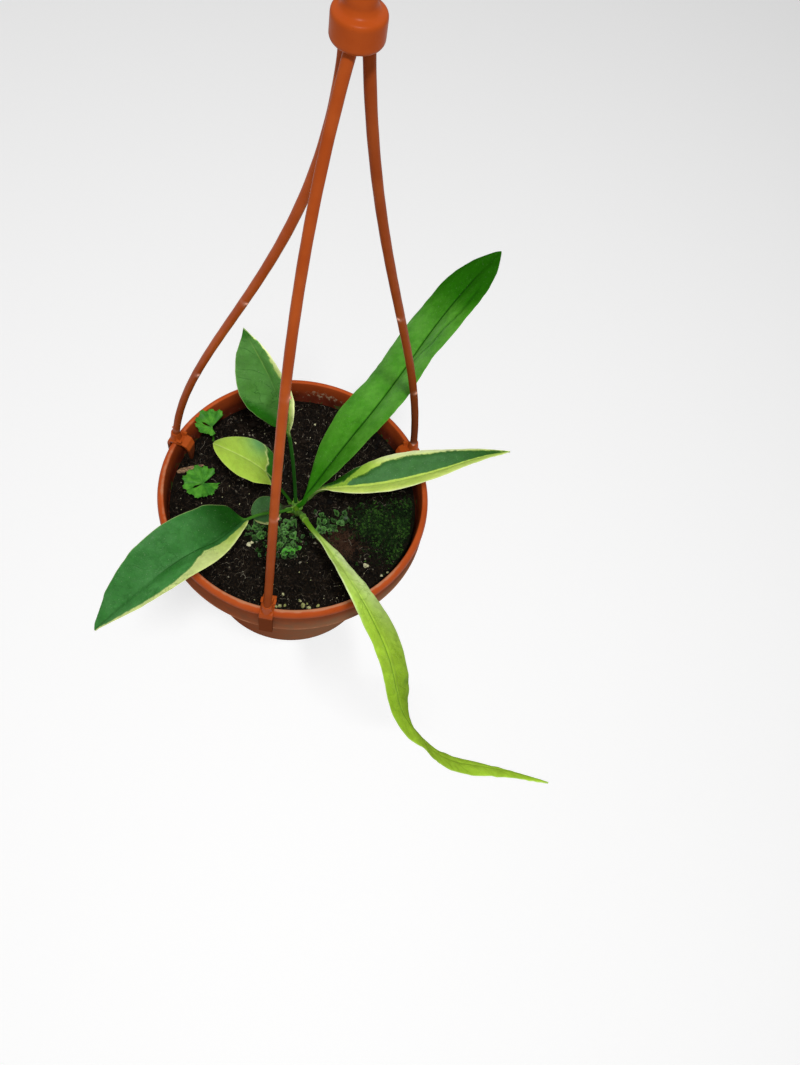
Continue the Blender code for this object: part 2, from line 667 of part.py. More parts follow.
def make_clip(bearing, collection):
    """A saddle over the rim, with the socket and the two ears that hold the arm's foot."""
    outline = clip_outline()
    edit = bmesh.new()
    near = [edit.verts.new((x, -CLIP_WIDTH / 2, z)) for x, z in outline]
    section = edit.faces.new(near)
    swept = bmesh.ops.extrude_face_region(edit, geom=[section])["geom"]
    bmesh.ops.translate(
        edit, verts=[item for item in swept if isinstance(item, bmesh.types.BMVert)], vec=(0, CLIP_WIDTH, 0),
    )
    for vertex in edit.verts:
        if vertex.co.x < LIP_RADIUS - 2 * MM and vertex.co.z < CLIP_TIP_TOP:
            vertex.co.y *= CLIP_TIP_WIDTH
    bmesh.ops.recalc_face_normals(edit, faces=edit.faces)
    pieces = [("saddle", edit)]

    edit = bmesh.new()
    bmesh.ops.create_cone(
        edit, cap_ends=True, segments=16, radius1=SOCKET_RADIUS, radius2=ROD_RADIUS + 0.4 * MM,
        depth=SOCKET_TOP - SOCKET_BOTTOM,
        matrix=Matrix.Translation((ARM_FOOT_RADIUS, 0, (SOCKET_TOP + SOCKET_BOTTOM) / 2)),
    )
    pieces.append(("socket", edit))

    for side in (-1, 1):
        edit = bmesh.new()
        place = Matrix.Translation((ARM_FOOT_RADIUS - EAR_INSET, side * EAR_SPREAD, EAR_HEIGHT))
        flare = Matrix.Rotation(math.radians(-side * EAR_FLARE), 4, "X")
        bmesh.ops.create_cube(edit, size=1, matrix=place @ flare @ Matrix.Diagonal((*EAR_SIZE, 1)))
        bmesh.ops.bevel(edit, geom=edit.edges[:], offset=0.35 * MM, segments=1, affect="EDGES", profile=0.5)
        pieces.append((f"ear_{side}", edit))

    for name, edit in pieces:
        bmesh.ops.rotate(edit, verts=edit.verts, matrix=Matrix.Rotation(math.radians(bearing), 3, "Z"))
        mesh = bpy.data.meshes.new(name)
        edit.to_mesh(mesh)
        edit.free()
        add_object(f"{name}_{bearing:.0f}", mesh, collection=collection)


def make_hanger():
    pieces = bpy.data.collections.new("hanger_pieces")
    bpy.context.scene.collection.children.link(pieces)
    for name, (bearing, *bows) in ARMS.items():
        rod(f"arm_{name}", arm_points(bearing, *bows), ROD_RADIUS, pieces)
        make_clip(bearing, pieces)
    rod("hook", hook_points(), HOOK_ROD, pieces)

    hub_profile = [(share * HUB_RADIUS, HUB_HEIGHT + rise * MM) for share, rise in HUB_OUTLINE]
    hanger = turned("hanger", hub_profile, HUB_STEPS)
    hanger.location = (*HUB_AT, 0)
    settle(hanger)
    hanger.data.materials.append(material("hanger_plastic", "b0501f", 0.42))
    joined = hanger.modifiers.new("pieces", "BOOLEAN")
    joined.operation = "UNION"
    joined.operand_type = "COLLECTION"
    joined.collection = pieces
    settle(hanger)
    for obj in list(pieces.objects):
        bpy.data.objects.remove(obj, do_unlink=True)
    bpy.data.collections.remove(pieces)
    smooth_shading(hanger)


clear_scene()
parts = bpy.data.collections.new(NAME)
cutters = bpy.data.collections.new("cutters")
for group in (parts, cutters):
    bpy.context.scene.collection.children.link(group)
cutters.hide_render = True
rim_centre = bpy.data.objects.new("rim_centre", None)
rim_centre.location = (-HUB_AT[0], -HUB_AT[1], -HOOK_BEARING)
parts.objects.link(rim_centre)
bpy.context.view_layer.update()

make_pot()
make_soil()
make_crown()
make_hanger()
for leaf_name, leaf_spec in LEAVES.items():
    make_leaf(leaf_name, leaf_spec)
for seedling_name, seedling_spec in SEEDLINGS.items():
    make_seedling(seedling_name, seedling_spec)
make_bark_chip()
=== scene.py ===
"""The looks of a potted anthurium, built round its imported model.

Shapes are worked out in millimetres from the centre of the rim's top, +Z up, with the front clip of
the hanger towards -Y, and then moved to the model's own frame.
"""

import math

import bmesh
import bpy
import numpy as np
from mathutils import Matrix, Vector


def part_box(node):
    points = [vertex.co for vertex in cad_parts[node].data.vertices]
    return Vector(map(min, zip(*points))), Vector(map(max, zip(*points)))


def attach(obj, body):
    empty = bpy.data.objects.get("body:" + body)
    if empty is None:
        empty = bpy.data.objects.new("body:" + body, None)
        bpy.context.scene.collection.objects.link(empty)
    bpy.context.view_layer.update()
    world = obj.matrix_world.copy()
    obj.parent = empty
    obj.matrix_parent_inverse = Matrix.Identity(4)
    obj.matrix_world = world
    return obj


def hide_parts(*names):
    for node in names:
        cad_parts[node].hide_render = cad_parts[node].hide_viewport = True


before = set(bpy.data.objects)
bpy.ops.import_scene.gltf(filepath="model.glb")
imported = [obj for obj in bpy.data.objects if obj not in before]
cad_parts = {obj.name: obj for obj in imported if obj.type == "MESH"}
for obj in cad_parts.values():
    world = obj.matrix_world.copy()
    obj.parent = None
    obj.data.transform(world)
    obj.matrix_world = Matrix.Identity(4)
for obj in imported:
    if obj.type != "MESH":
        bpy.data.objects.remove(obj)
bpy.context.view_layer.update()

MM = 0.001
RIM_CENTRE = np.array((-10.0, 5.0, -297.5))

# Camera, in mm from the rim's centre, with its angles in degrees
VIEW_TARGET = (57.2, -13.2, 0.0)
VIEW_DISTANCE = 451.0
VIEW_AZIMUTH = -6.9
VIEW_ELEVATION = 63.0
VIEW_ROLL = 17.1
VIEW_LENS = 29.58
# Lights: place in metres from the rim's centre, size and power
LIGHTS = {
    "key": ((0.14, -0.55, 1.28), 0.13, 15),
    "fill": ((-1.0, 0.5, 1.0), 1.4, 3.5),
    "back": ((0.6, 0.9, 1.0), 1.2, 2.5),
}

# Pot and soil
RIM_RADIUS = 70.0
LIP_RADIUS = 66.5
LIP_ROUND = 0.8
RIM_ROUND = (2.3, 3.8)
LEDGE_DEPTH = 16.0
COLLAR_DEPTH = 19.0
NECK_RADIUS = 63.9
BASE_RADIUS = 48.6
POT_HEIGHT = 100.0
WALL = 2.0
FLOOR = 2.6
DRAIN_HOLES = 8
DRAIN_RADIUS = 3.5
DRAIN_CIRCLE = 33.0
TURN_STEPS = 240
SOIL_LEVEL = -12.7
SOIL_FALL = 2.5
SOIL_WAVES = ((0.55, 9.0, 4.0, 0.3), (0.4, -5.2, 6.1, 1.9), (0.3, 3.1, -4.4, 4.0))
SOIL_EDGE = 64.9
SOIL_REACH = 63.5
CROWN_AT = (1.5, -6.5)

# Rounds on the soil: x, y and radius
LIVERWORT = (
    (-16, -24, 6), (-9, -22, 8), (-2, -21, 9), (3, -26, 8), (-3, -27, 7),
    (16, -13, 6), (23, -11, 7), (17, -10, 5),
)
MOSS = (
    (60, -5, 9), (52, -10, 11), (48, 0, 9), (58, 4, 9), (44, -8, 8), (38, -2, 7), (56, -17, 7), (60, 9, 6),
)
COIR = ((27, -19, 6.5), (31, -19, 4.5))
# Big lobes of liverwort: x, y, size and paleness
LOBES = (
    (1.5, -30.4, 1.9, 1), (4.5, -29.7, 2.0, 0.98), (6.6, -27.5, 1.6, 0.95), (3.2, -28.8, 1.7, 0.9),
    (-12.2, -25.1, 1.3, 0.9), (-1.4, -13.9, 2.4, 0.6), (0.4, -14.6, 1.9, 0.7),
)
# Pale grains and stones: x, y, size and paleness
GRAINS = (
    (-18, -29.7, 1.7, 0.95), (-16.8, -28.2, 1.1, 0.7), (43.3, -29.1, 1.7, 0.9), (52.3, -32.4, 1.1, 0.8),
    (55.1, -30, 0.8, 0.5), (4.6, -52.8, 1.0, 0.5), (4.3, -58.9, 1.3, 0.25), (6.8, -58.3, 1.1, 0.1),
    (2.6, -59.6, 0.9, 0.2), (15.7, -57.2, 1.5, 0.2), (18.8, -57.6, 1.3, 0.3), (13.7, -54.9, 1.3, 0.35),
    (17.2, -55.6, 1.1, 0.15), (23.1, -55.7, 1.0, 0.1), (-6.8, 35.1, 0.9, 0.95), (-11.7, 38.6, 0.7, 0.6),
    (1.2, 50.3, 0.7, 0.8), (-34.6, 54, 0.6, 0.7), (-27.6, -8.2, 0.7, 0.6), (36.8, 31, 0.6, 0.8),
    (21, 49, 0.6, 0.5),
)

# Hanger
ROD_RADIUS = 1.85
ROD_SIDES = 32
ARM_STEPS = 150
ARM_FOOT_RADIUS = 68.0
HUB_AT = (10.0, -5.0)
HUB_HEIGHT = 260.0
HUB_PITCH = 3.0
# Arms: bearing, then how far the curve is drawn out and aside at its foot and at its head
ARMS = {
    "left": (166.5, -8.4, -4.7, 1.0, -4.0),
    "front": (269.8, -1.9, 2.9, 14.0, -16.0),
    "right": (34.0, -4.8, 4.8, 10.0, 2.0),
}
# Moulding nubs: share of the arm's curve, and the side that they stand on in degrees
NUBS = {
    "left": ((0.509, 300), (0.258, 300), (0.028, 180)),
    "front": ((0.546, 0), (0.303, 0)),
    "right": ((0.484, 250), (0.223, 320), (0.013, 270)),
}
# Painted shade on each arm: how far it darkens at its clip and at its hub
ARM_SHADE = {"left": (0.35, 0.0), "front": (0.45, 0.05), "right": (0.85, 0.3)}
CLIP_WIDTH = 6.8
CLIP_HALF = 0.85
HOOK_RADIUS = 12.0
HOOK_ROD = 2.5
HOOK_RISE = 28.0

# Leaves: the stations give the distance along the leaf in mm, then bearing, climb and lean in degrees
SMOOTHING = 10.0
BLEND_LENGTH = 9.0
STALK_START = -5.0
PULL = 0.62
LEAVES = {
    "leaf_tall": dict(
        root=(4.8, -30), stalk=20, radius=1.25, half_width=22.5, widest=0.79, powers=(0.47, 0.75),
        fold=(14, 2), wave=(0.5, 3.5), columns=41, wing=(6, 27, 7.2), quilt=0.02,
        trim=((0.05, 0.15, 0.3, 0.42), (1, 1.14, 1.1, 1), (1, 1, 1, 1)),
        crease=((0.5, 0.54, 0.6, 0.68, 0.75, 0.82, 0.88), (-0.2, -0.22, -0.5, -0.55, -0.68, -0.66, -0.62)),
        stations=((0, 41, 88, -29.5), (10, 31.5, 88, -29.5), (22, 60.5, 29, -33.5), (60, 62.5, 10, -34.5),
                  (110, 64.5, 23.5, -47), (176, 47.5, 35, -37.5)),
    ),
    "leaf_right": dict(
        root=(4.6, 20), stalk=25, radius=1.1, half_width=15.6, widest=0.45, powers=(0.62, 0.96),
        fold=(27, 21), wave=(0.2, 2.0), columns=37, wing=(8, 34, 5.4), rib_shift=(-0.1, 0.3, 0.6),
        stations=((0, 3, 74, -18), (12, 1, 73, -18.5), (25, -14, 42, -19.5), (59, 16.5, 13.5, -22),
                  (93, 29.5, 8.5, -35.5), (122, 24.5, -3, -33.5)),
    ),
    "leaf_left": dict(
        root=(4.8, -125), stalk=33, radius=0.78, half_width=19.2, widest=0.4, powers=(0.71, 0.72),
        fold=(47, 34), wave=(0.3, 2.0), columns=41, rib_shift=(0.28, 0.22, 0.12), crimp=0.4, pull=0.25,
        soft=3.0, groove=(0.4, 0.68),
        trim=((0.02, 0.07, 0.16, 0.3), (1, 1, 1, 1), (1, 1.25, 1.1, 1)),
        bumps=((0.4, 0.45, 2.0, 0.12, 0.7), (0.47, 0.35, 2.5, 0.12, 0.6), (0.55, 0.5, 3.0, 0.15, 0.5),
               (0.36, 0.15, 2.0, 0.1, 0.5), (0.62, 0.3, 3.0, 0.15, 0.4)),
        stations=((0, 231, 42.5, 13), (18, 226, 44, 13.5), (37, 238.5, 26, 16), (64, 232, 12, -3),
                  (93, 227.5, -21, 6), (127, 222, -36, 27)),
    ),
    "leaf_back": dict(
        root=(4.6, 100), stalk=47, radius=0.9, half_width=16.6, widest=0.43, powers=(0.65, 0.8),
        fold=(37, 25), wave=(0.2, 2.0), columns=37, crimp=0.45, wing=(41, 53, 3.0),
        trim=((0.02, 0.08, 0.35, 0.5, 0.82, 0.9, 0.95, 1), (1, 1, 1, 1, 1, 0.84, 0.68, 0.6),
              (1, 0.84, 0.86, 1, 1, 0.95, 0.85, 0.8)),
        bumps=((0.75, 0.5, 3, 0.15, 0.6), (0.6, 0.45, 3, 0.12, -0.5), (0.85, 0.45, 2.5, 0.2, -0.5)),
        stations=((0, 125, 78.5, -51), (24, 122, 77, -55.5), (47, 126.5, 66.5, -66), (69, 145.5, 62.5, -63),
                  (88, 158, 61.5, -78.5), (108, 169, 62.5, -78)),
    ),
    "leaf_young": dict(
        root=(4.6, 155), stalk=16.5, radius=0.75, half_width=13.3, widest=0.524, powers=(0.45, 0.6),
        fold=(28, -13), wave=(0.2, 2.0), columns=33, pull=0.3,
        trim=((0.04, 0.12, 0.25, 0.4, 0.5), (1, 0.62, 0.66, 0.88, 1), (1, 1, 1, 1, 1)),
        stations=((0, 186.5, 72.5, 8.5), (12, 185.5, 68, 9), (25, 179, 59.5, 10), (41, 181, 36.5, 12.5),
                  (60, 181, 23, 16)),
    ),
    "leaf_trailing": dict(
        root=(5.4, -75), stalk=48, radius=1.25, half_width=10.3, widest=0.47, powers=(0.7, 0.61),
        fold=(14, -18), wave=(0.2, 3.0), columns=33, wing=(36, 66, 3.4), crimp=0.3,
        rib_shift=(-0.3, 0.33, 0.25),
        trim=((0.05, 0.12, 0.2, 0.26, 0.4, 0.5), (1, 0.82, 0.86, 0.9, 0.86, 1), (1, 1.04, 1.06, 1.06, 1, 1)),
        bumps=((0.392, 0.6, 1.5, 0.5, 0.5), (0.41, 0.5, 1.5, 0.5, -0.45), (0.42, -0.3, 1.5, 0.2, 0.5),
               (0.44, 0.2, 1.5, 0.2, 0.4)),
        stations=((0, -63.5, 69, -31.5), (25, -69.5, 52, -32.5), (52, -48.5, 23, -35.5),
                  (78, -50, 10.5, -33), (106, -51, -11.5, -29), (136, -71, -28.5, -49),
                  (161, -2.5, -74, -44), (181, -18.5, -48.5, -58), (209, 8, -22, -48),
                  (257, -3.5, -15.5, -64.5)),
    ),
    "leaf_small": dict(
        root=(5.4, -165), stalk=2, radius=0.7, half_width=8.4, widest=0.5, powers=(0.6, 0.5),
        fold=(8, 8), wave=(0.2, 1.5), columns=25,
        stations=((0, 204, -4, 0), (8, 210, -8, 0), (18, 217, -12, 0)),
    ),
}

SEEDLINGS = {
    "seedling_front": dict(
        at=(-47.4, -4.3), height=-5, reach=(9.0, 1.1), long_way=180, notch=(10, 56), slit=222, slit_width=9,
        scallops=13,
    ),
    "seedling_back": dict(
        at=(-50.7, 27.6), height=-1, reach=(7.8, 2.2), long_way=105, notch=(-54, 62), slit=166, slit_width=10,
        scallops=12,
    ),
}
BARK_AT = (-57.8, 7.2)
BARK_TURN = math.radians(31)

random = np.random.default_rng(11)


def hashed(ix, iy, seed):
    """Even values from 0 to 1 at whole-number places."""
    mixed = ix.astype(np.int64) * 374761393 + iy.astype(np.int64) * 668265263 + seed * 982451653
    mixed = (mixed ^ (mixed >> 13)) * 1274126177
    return ((mixed ^ (mixed >> 16)) & 0xFFFF) / 65535


def noise(x, y, seed=0):
    """Smooth values from -1 to 1 over a plane."""
    x, y = np.asarray(x, float), np.asarray(y, float)
    ix, iy = np.floor(x), np.floor(y)
    fx, fy = x - ix, y - iy
    sx, sy = fx * fx * (3 - 2 * fx), fy * fy * (3 - 2 * fy)
    low = hashed(ix, iy, seed) * (1 - sx) + hashed(ix + 1, iy, seed) * sx
    high = hashed(ix, iy + 1, seed) * (1 - sx) + hashed(ix + 1, iy + 1, seed) * sx
    return 2 * (low * (1 - sy) + high * sy) - 1


def layered(x, y, size, seed=0, layers=3):
    """Noise of several sizes, each half the one before."""
    total = 0
    for layer in range(layers):
        scale = 2 ** layer / size
        total = total + noise(x * scale, y * scale, seed + 17 * layer) / 2 ** layer
    return total


def smooth(value, low, high):
    """A smooth step from 0 at low to 1 at high."""
    share = np.clip((value - low) / (high - low), 0, 1)
    return share * share * (3 - 2 * share)


def bell(value, width, power=2):
    """A smooth hump that is 1 at zero."""
    return np.exp(-(value / width) ** power)


def bent(share, *steps):
    """A value that runs in straight steps along the leaf: share and value, in turn."""
    return np.interp(share, steps[::2], steps[1::2])


def unit(vectors):
    """Vectors of length 1 in the same directions."""
    return vectors / np.linalg.norm(vectors, axis=-1, keepdims=True)


def pointing(bearing, reach=1.0):
    """A level step in the direction of a bearing in degrees."""
    turn = math.radians(bearing)
    return np.array((reach * math.cos(turn), reach * math.sin(turn), 0.0))


def turns(count):
    """Even turns all round, in radians."""
    return np.arange(count) * 2 * np.pi / count


def linear(value):
    return value / 12.92 if value <= 0.04045 else ((value + 0.055) / 1.055) ** 2.4


def colour(code):
    """A screen colour, written as six hex digits, as linear values."""
    return (*(linear(int(code[i:i + 2], 16) / 255) for i in (0, 2, 4)), 1)


class Shader:
    """A material whose colour is laid on in coats, and short ways to add nodes to it."""

    def __init__(self, name):
        self.material = bpy.data.materials.new(name)
        self.material.use_nodes = True
        self.tree = self.material.node_tree
        self.surface = self.tree.nodes["Principled BSDF"]
        self.base = None

    def put(self, node, key, value):
        socket = node.inputs[key]
        if isinstance(value, bpy.types.NodeSocket):
            self.tree.links.new(value, socket)
        else:
            socket.default_value = colour(value) if isinstance(value, str) else value

    def add(self, kind, inputs=(), **settings):
        node = self.tree.nodes.new(kind)
        for key, value in settings.items():
            setattr(node, key, value)
        for key, value in dict(inputs).items():
            self.put(node, key, value)
        return node

    def set(self, **inputs):
        """Set inputs of the surface, with _ for each space in their names."""
        for key, value in inputs.items():
            self.put(self.surface, key.replace("_", " "), value)

    def place(self):
        return self.add("ShaderNodeTexCoord").outputs["Object"]

    def field(self, name):
        return self.add("ShaderNodeAttribute", attribute_name=name).outputs["Fac"]

    def math(self, operation, first, second=0.0):
        return self.add("ShaderNodeMath", {0: first, 1: second}, operation=operation).outputs[0]

    def plus(self, first, second):
        return self.math("ADD", first, second)

    def times(self, first, *others):
        for value in others:
            first = self.math("MULTIPLY", first, value)
        return first

    def off_middle(self, value):
        """How far a value is from one half."""
        return self.math("ABSOLUTE", self.math("SUBTRACT", value, 0.5))

    def noise(self, scale, detail=3, place=None, rough=0.5):
        node = self.add("ShaderNodeTexNoise", {
            "Vector": place or self.place(), "Scale": scale, "Detail": detail, "Roughness": rough,
        })
        return node.outputs["Fac"]

    def clouds(self, scale, detail, *limits, rough=0.5):
        """Noise stepped between limits."""
        return self.step(self.noise(scale, detail, rough=rough), *limits)

    def net(self, scale):
        """The distance from the borders of small cells."""
        inputs = {"Vector": self.place(), "Scale": scale}
        return self.add("ShaderNodeTexVoronoi", inputs, feature="DISTANCE_TO_EDGE").outputs["Distance"]

    def step(self, value, low, high, start=0.0, end=1.0):
        node = self.add("ShaderNodeMapRange", {
            "Value": value, "From Min": low, "From Max": high, "To Min": start, "To Max": end,
        }, interpolation_type="SMOOTHSTEP")
        return node.outputs["Result"]

    def mix(self, share, first, second):
        node = self.add("ShaderNodeMix", data_type="RGBA")
        for index, value in ((0, share), (6, first), (7, second)):
            self.put(node, index, value)
        return node.outputs[2]

    def coat(self, share, over):
        """Lay a colour over what is there."""
        self.base = self.mix(share, self.base, over)

    def finish(self, rough, relief, depth, strength=1.0, shine=0.5):
        """Set the colour, roughness, shine, and bumps of a depth in mm."""
        bump = self.add("ShaderNodeBump", {"Height": relief, "Distance": depth * MM, "Strength": strength})
        self.set(Base_Color=self.base, Roughness=rough, Specular_IOR_Level=shine)
        self.set(Normal=bump.outputs["Normal"])
        return self

    def translucent(self, weight, scale):
        """Let some light through, as leaves do."""
        self.set(Subsurface_Weight=weight, Subsurface_Radius=(0.6, 1.0, 0.25), Subsurface_Scale=scale)


def link(thing):
    bpy.context.scene.collection.objects.link(thing)
    return thing


def build(name, points, faces, shader, node=None, fields=(), flat=False):
    """A piece from points in mm from the rim's centre, which rides on the part's one body."""
    mesh = bpy.data.meshes.new(name)
    moved = (np.asarray(points, float) + RIM_CENTRE) * MM
    mesh.from_pydata(moved.tolist(), [], faces.tolist() if hasattr(faces, "tolist") else faces)
    for field, values in dict(fields).items():
        layer = mesh.attributes.new(field, "FLOAT", "POINT")
        layer.data.foreach_set("value", np.asarray(values, np.float32).ravel())
    mesh.materials.append(shader.material)
    mesh.polygons.foreach_set("use_smooth", [not flat] * len(mesh.polygons))
    mesh.validate()
    piece = link(bpy.data.objects.new(name, mesh))
    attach(piece, "root")
    if node:
        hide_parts(node)
    return piece


def grid_faces(rows, columns, closed=False):
    """Faces of a grid of points, row after row."""
    wide = columns if closed else columns - 1
    row, column = np.meshgrid(np.arange(rows - 1), np.arange(wide), indexing="ij")
    beside = (column + 1) % columns
    corners = (row * columns + column, row * columns + beside, (row + 1) * columns + beside,
               (row + 1) * columns + column)
    return np.stack(corners, -1).reshape(-1, 4)


def tube_faces(rings, sides):
    """Faces of a closed tube: its wall, then the cap of its first ring and of its last."""
    faces = grid_faces(rings, sides, closed=True).tolist()
    faces.append(list(range(sides))[::-1])
    faces.append(list(range((rings - 1) * sides, rings * sides)))
    return faces


def repeated(faces, count, size):
    """The faces of many copies of a shape that has the given number of points."""
    shifts = (np.arange(count) * size)[:, None, None]
    return (faces[None] + shifts).reshape(-1, faces.shape[1])


def solid(points, faces):
    """A closed shape with its faces pointing out."""
    edit = bmesh.new()
    corners = [edit.verts.new(point) for point in points]
    for face in faces:
        edit.faces.new([corners[i] for i in face])
    bmesh.ops.recalc_face_normals(edit, faces=edit.faces)
    return edit


def as_mesh(edit, name):
    """The mesh of an edited shape, which is then closed."""
    mesh = bpy.data.meshes.new(name)
    edit.to_mesh(mesh)
    edit.free()
    return mesh


def applied(thing):
    """Points and faces of an object with its modifiers, after which it goes."""
    graph = bpy.context.evaluated_depsgraph_get()
    mesh = bpy.data.meshes.new_from_object(thing.evaluated_get(graph), depsgraph=graph)
    bpy.data.objects.remove(thing)
    points = np.zeros(len(mesh.vertices) * 3)
    mesh.vertices.foreach_get("co", points)
    return points.reshape(-1, 3), [list(face.vertices) for face in mesh.polygons]


def fused(name, pieces, voxel, rounds, shader, node, fields=()):
    """Closed shapes melted into one with soft corners, with fields worked out from its heights."""
    edit = bmesh.new()
    for piece in pieces:
        mesh = as_mesh(piece, "piece")
        edit.from_mesh(mesh)
        bpy.data.meshes.remove(mesh)
    thing = link(bpy.data.objects.new(name, as_mesh(edit, name)))
    melt = thing.modifiers.new("melt", "REMESH")
    melt.mode = "VOXEL"
    melt.voxel_size = voxel
    soften = thing.modifiers.new("soften", "SMOOTH")
    soften.factor = 0.5
    soften.iterations = rounds
    points, faces = applied(thing)
    values = {key: maker(points[:, 2]) for key, maker in dict(fields).items()}
    build(name, points, faces, shader, node, values)


def soil_height(x, y):
    """The part's own soil, a low dome with small waves."""
    reach = np.hypot(x, y) / LIP_RADIUS
    calm = np.minimum(1, np.hypot(x - CROWN_AT[0], y - CROWN_AT[1]) / 9) ** 2
    waves = sum(size * np.sin(x / across + y / along + phase) for size, across, along, phase in SOIL_WAVES)
    return SOIL_LEVEL - SOIL_FALL * reach ** 2 + waves * calm * np.minimum(1, 4 * (1 - reach))


def crumbled(x, y):
    """The soil's top with its clods and crumbs."""
    clods = 0.55 * layered(x, y, 7, 3, 2)
    crumbs = 1.0 * np.abs(noise(x / 2.6, y / 2.6, 5)) + 0.7 * np.abs(noise(x / 1.2, y / 1.2, 9))
    edge = smooth(np.hypot(x, y), 66, 60)
    return soil_height(x, y) + (clods + crumbs - 0.6) * (0.35 + 0.65 * edge)


def on_soil(x, y, above):
    """Points a little above the soil's top."""
    return np.stack((x, y, crumbled(x, y) + above), 1)


def disc_points(count, radius):
    """A square grid of points bent into a disc, even all over."""
    line = np.linspace(-1, 1, count)
    a, b = np.meshgrid(line, line, indexing="ij")
    wide = np.abs(a) > np.abs(b)
    reach = np.where(wide, a, b)
    safe = np.where(np.abs(reach) < 1e-9, 1, reach)
    turn = np.where(wide, np.pi / 4 * b / safe, np.pi / 2 - np.pi / 4 * a / safe)
    return radius * reach * np.cos(turn), radius * reach * np.sin(turn)


def blob(level):
    """A round shape of triangles, for clods, stones and nubs."""
    edit = bmesh.new()
    bmesh.ops.create_icosphere(edit, subdivisions=level, radius=1)
    points = np.array([v.co[:] for v in edit.verts])
    faces = np.array([[v.index for v in face.verts] for face in edit.faces])
    edit.free()
    return points, faces


def grain():
    """The eight-sided shape of a small crumb."""
    points = np.vstack((np.eye(3), -np.eye(3))) * 1.15
    faces = ((0, 1, 2), (1, 3, 2), (3, 4, 2), (4, 0, 2), (1, 0, 5), (3, 1, 5), (4, 3, 5), (0, 4, 5))
    return points, np.array(faces)


def spins(count):
    """Random turns in space, as matrices."""
    w, x, y, z = unit(random.normal(size=(count, 4))).T
    return np.stack((
        1 - 2 * (y * y + z * z), 2 * (x * y - z * w), 2 * (x * z + y * w),
        2 * (x * y + z * w), 1 - 2 * (x * x + z * z), 2 * (y * z - x * w),
        2 * (x * z - y * w), 2 * (y * z + x * w), 1 - 2 * (x * x + y * y),
    ), 1).reshape(count, 3, 3)


def strewn(shape, centres, sizes, rough):
    """Many rough copies of a blob, each with its own turn, size and lumps."""
    points, faces = shape
    count = len(centres)
    lumps = 1 + rough * random.uniform(-1, 1, (count, len(points), 1))
    bodies = points[None] * lumps * sizes[:, None, :]
    turned = np.einsum("nij,nvj->nvi", spins(count), bodies)
    spread = (turned + centres[:, None, :]).reshape(-1, 3)
    return spread, repeated(faces, count, len(points)), len(points)


def scattered(count, reach=SOIL_REACH):
    """Random places on the soil."""
    turn = random.uniform(0, 2 * np.pi, count)
    out = reach * np.sqrt(random.uniform(0, 1, count))
    return out * np.cos(turn), out * np.sin(turn)


def near(x, y, places):
    """How close a place is to any of the given rounds: x, y and radius in mm."""
    return np.max([np.exp(-(((x - a) ** 2 + (y - b) ** 2) / c ** 2)) for a, b, c in places], axis=0)


def in_patches(count, patches, spread=0.62):
    """Random places within the given rounds."""
    rows = np.array(patches)
    pick = random.choice(len(rows), count, p=rows[:, 2] ** 2 / (rows[:, 2] ** 2).sum())
    away = random.normal(size=(count, 2)) * spread
    x = rows[pick, 0] + away[:, 0] * rows[pick, 2]
    y = rows[pick, 1] + away[:, 1] * rows[pick, 2]
    keep = np.hypot(x, y) < 63
    return x[keep], y[keep]


def pot_shader():
    shader = Shader("pot_terracotta_plastic")
    shader.base = shader.mix(shader.clouds(55, 4, 0.3, 0.75), "a5451a", "b24f22")
    shader.coat(shader.clouds(900, 2, 0.62, 0.8, 0, 0.35), "86330f")
    # The inner wall: damp, darker plastic plus painted shade, which the field makes stronger lower down
    # inside the pot
    damp_and_shade = shader.mix(shader.clouds(120, 4, 0.35, 0.7), "4a1c10", "64291a")
    shader.coat(shader.field("inside"), damp_and_shade)
    scale = shader.plus(shader.field("deposit"), shader.clouds(420, 6, 0.3, 0.7, -0.5, 0.5, rough=0.7))
    shader.coat(shader.step(scale, 0.5, 0.75, 0, 0.8), "a08a70")
    algae = shader.plus(shader.field("algae"), shader.clouds(300, 5, 0.3, 0.7, -0.5, 0.5))
    shader.coat(shader.step(algae, 0.5, 0.7), "3c4a20")
    # The outer wall below the rim's top: painted shade in a duller brown with a dusty mottle, greyer low down
    # on the front right
    wall = shader.field("wall")
    dust_and_shade = shader.mix(shader.field("grey_low_front_right"), "73402a", "806048")
    shader.coat(shader.times(wall, shader.clouds(200, 4, 0.2, 0.8, 0.75, 1.0)), dust_and_shade)
    # Painted highlight: a thin pale line along the inner edge of the rim's top and along the collar's lower
    # lip, broken up by noise
    edge_highlight = shader.plus(shader.field("edge_highlight"), shader.clouds(240, 4, 0.3, 0.7, -0.2, 0.15))
    shader.coat(shader.step(edge_highlight, 0.15, 0.85, 0, 0.85), "b67c5c")
    rough = shader.clouds(260, 3, 0.3, 0.8, 0.3, 0.42)
    return shader.finish(rough, shader.noise(1500, 2), 0.04, 0.5, shine=shader.step(wall, 0, 1, 0.03, 0.0))


def run(start, end, count, first=0.0):
    """Points on a straight line, from the given share of it on."""
    start, end = np.array(start), np.array(end)
    return start + np.linspace(first, 1, count)[:, None] * (end - start)


def arc(centre, radii, angles):
    """Points round an ellipse, at angles in degrees."""
    turn = np.radians(angles)
    return np.stack((centre[0] + radii[0] * np.cos(turn), centre[1] + radii[1] * np.sin(turn)), 1)


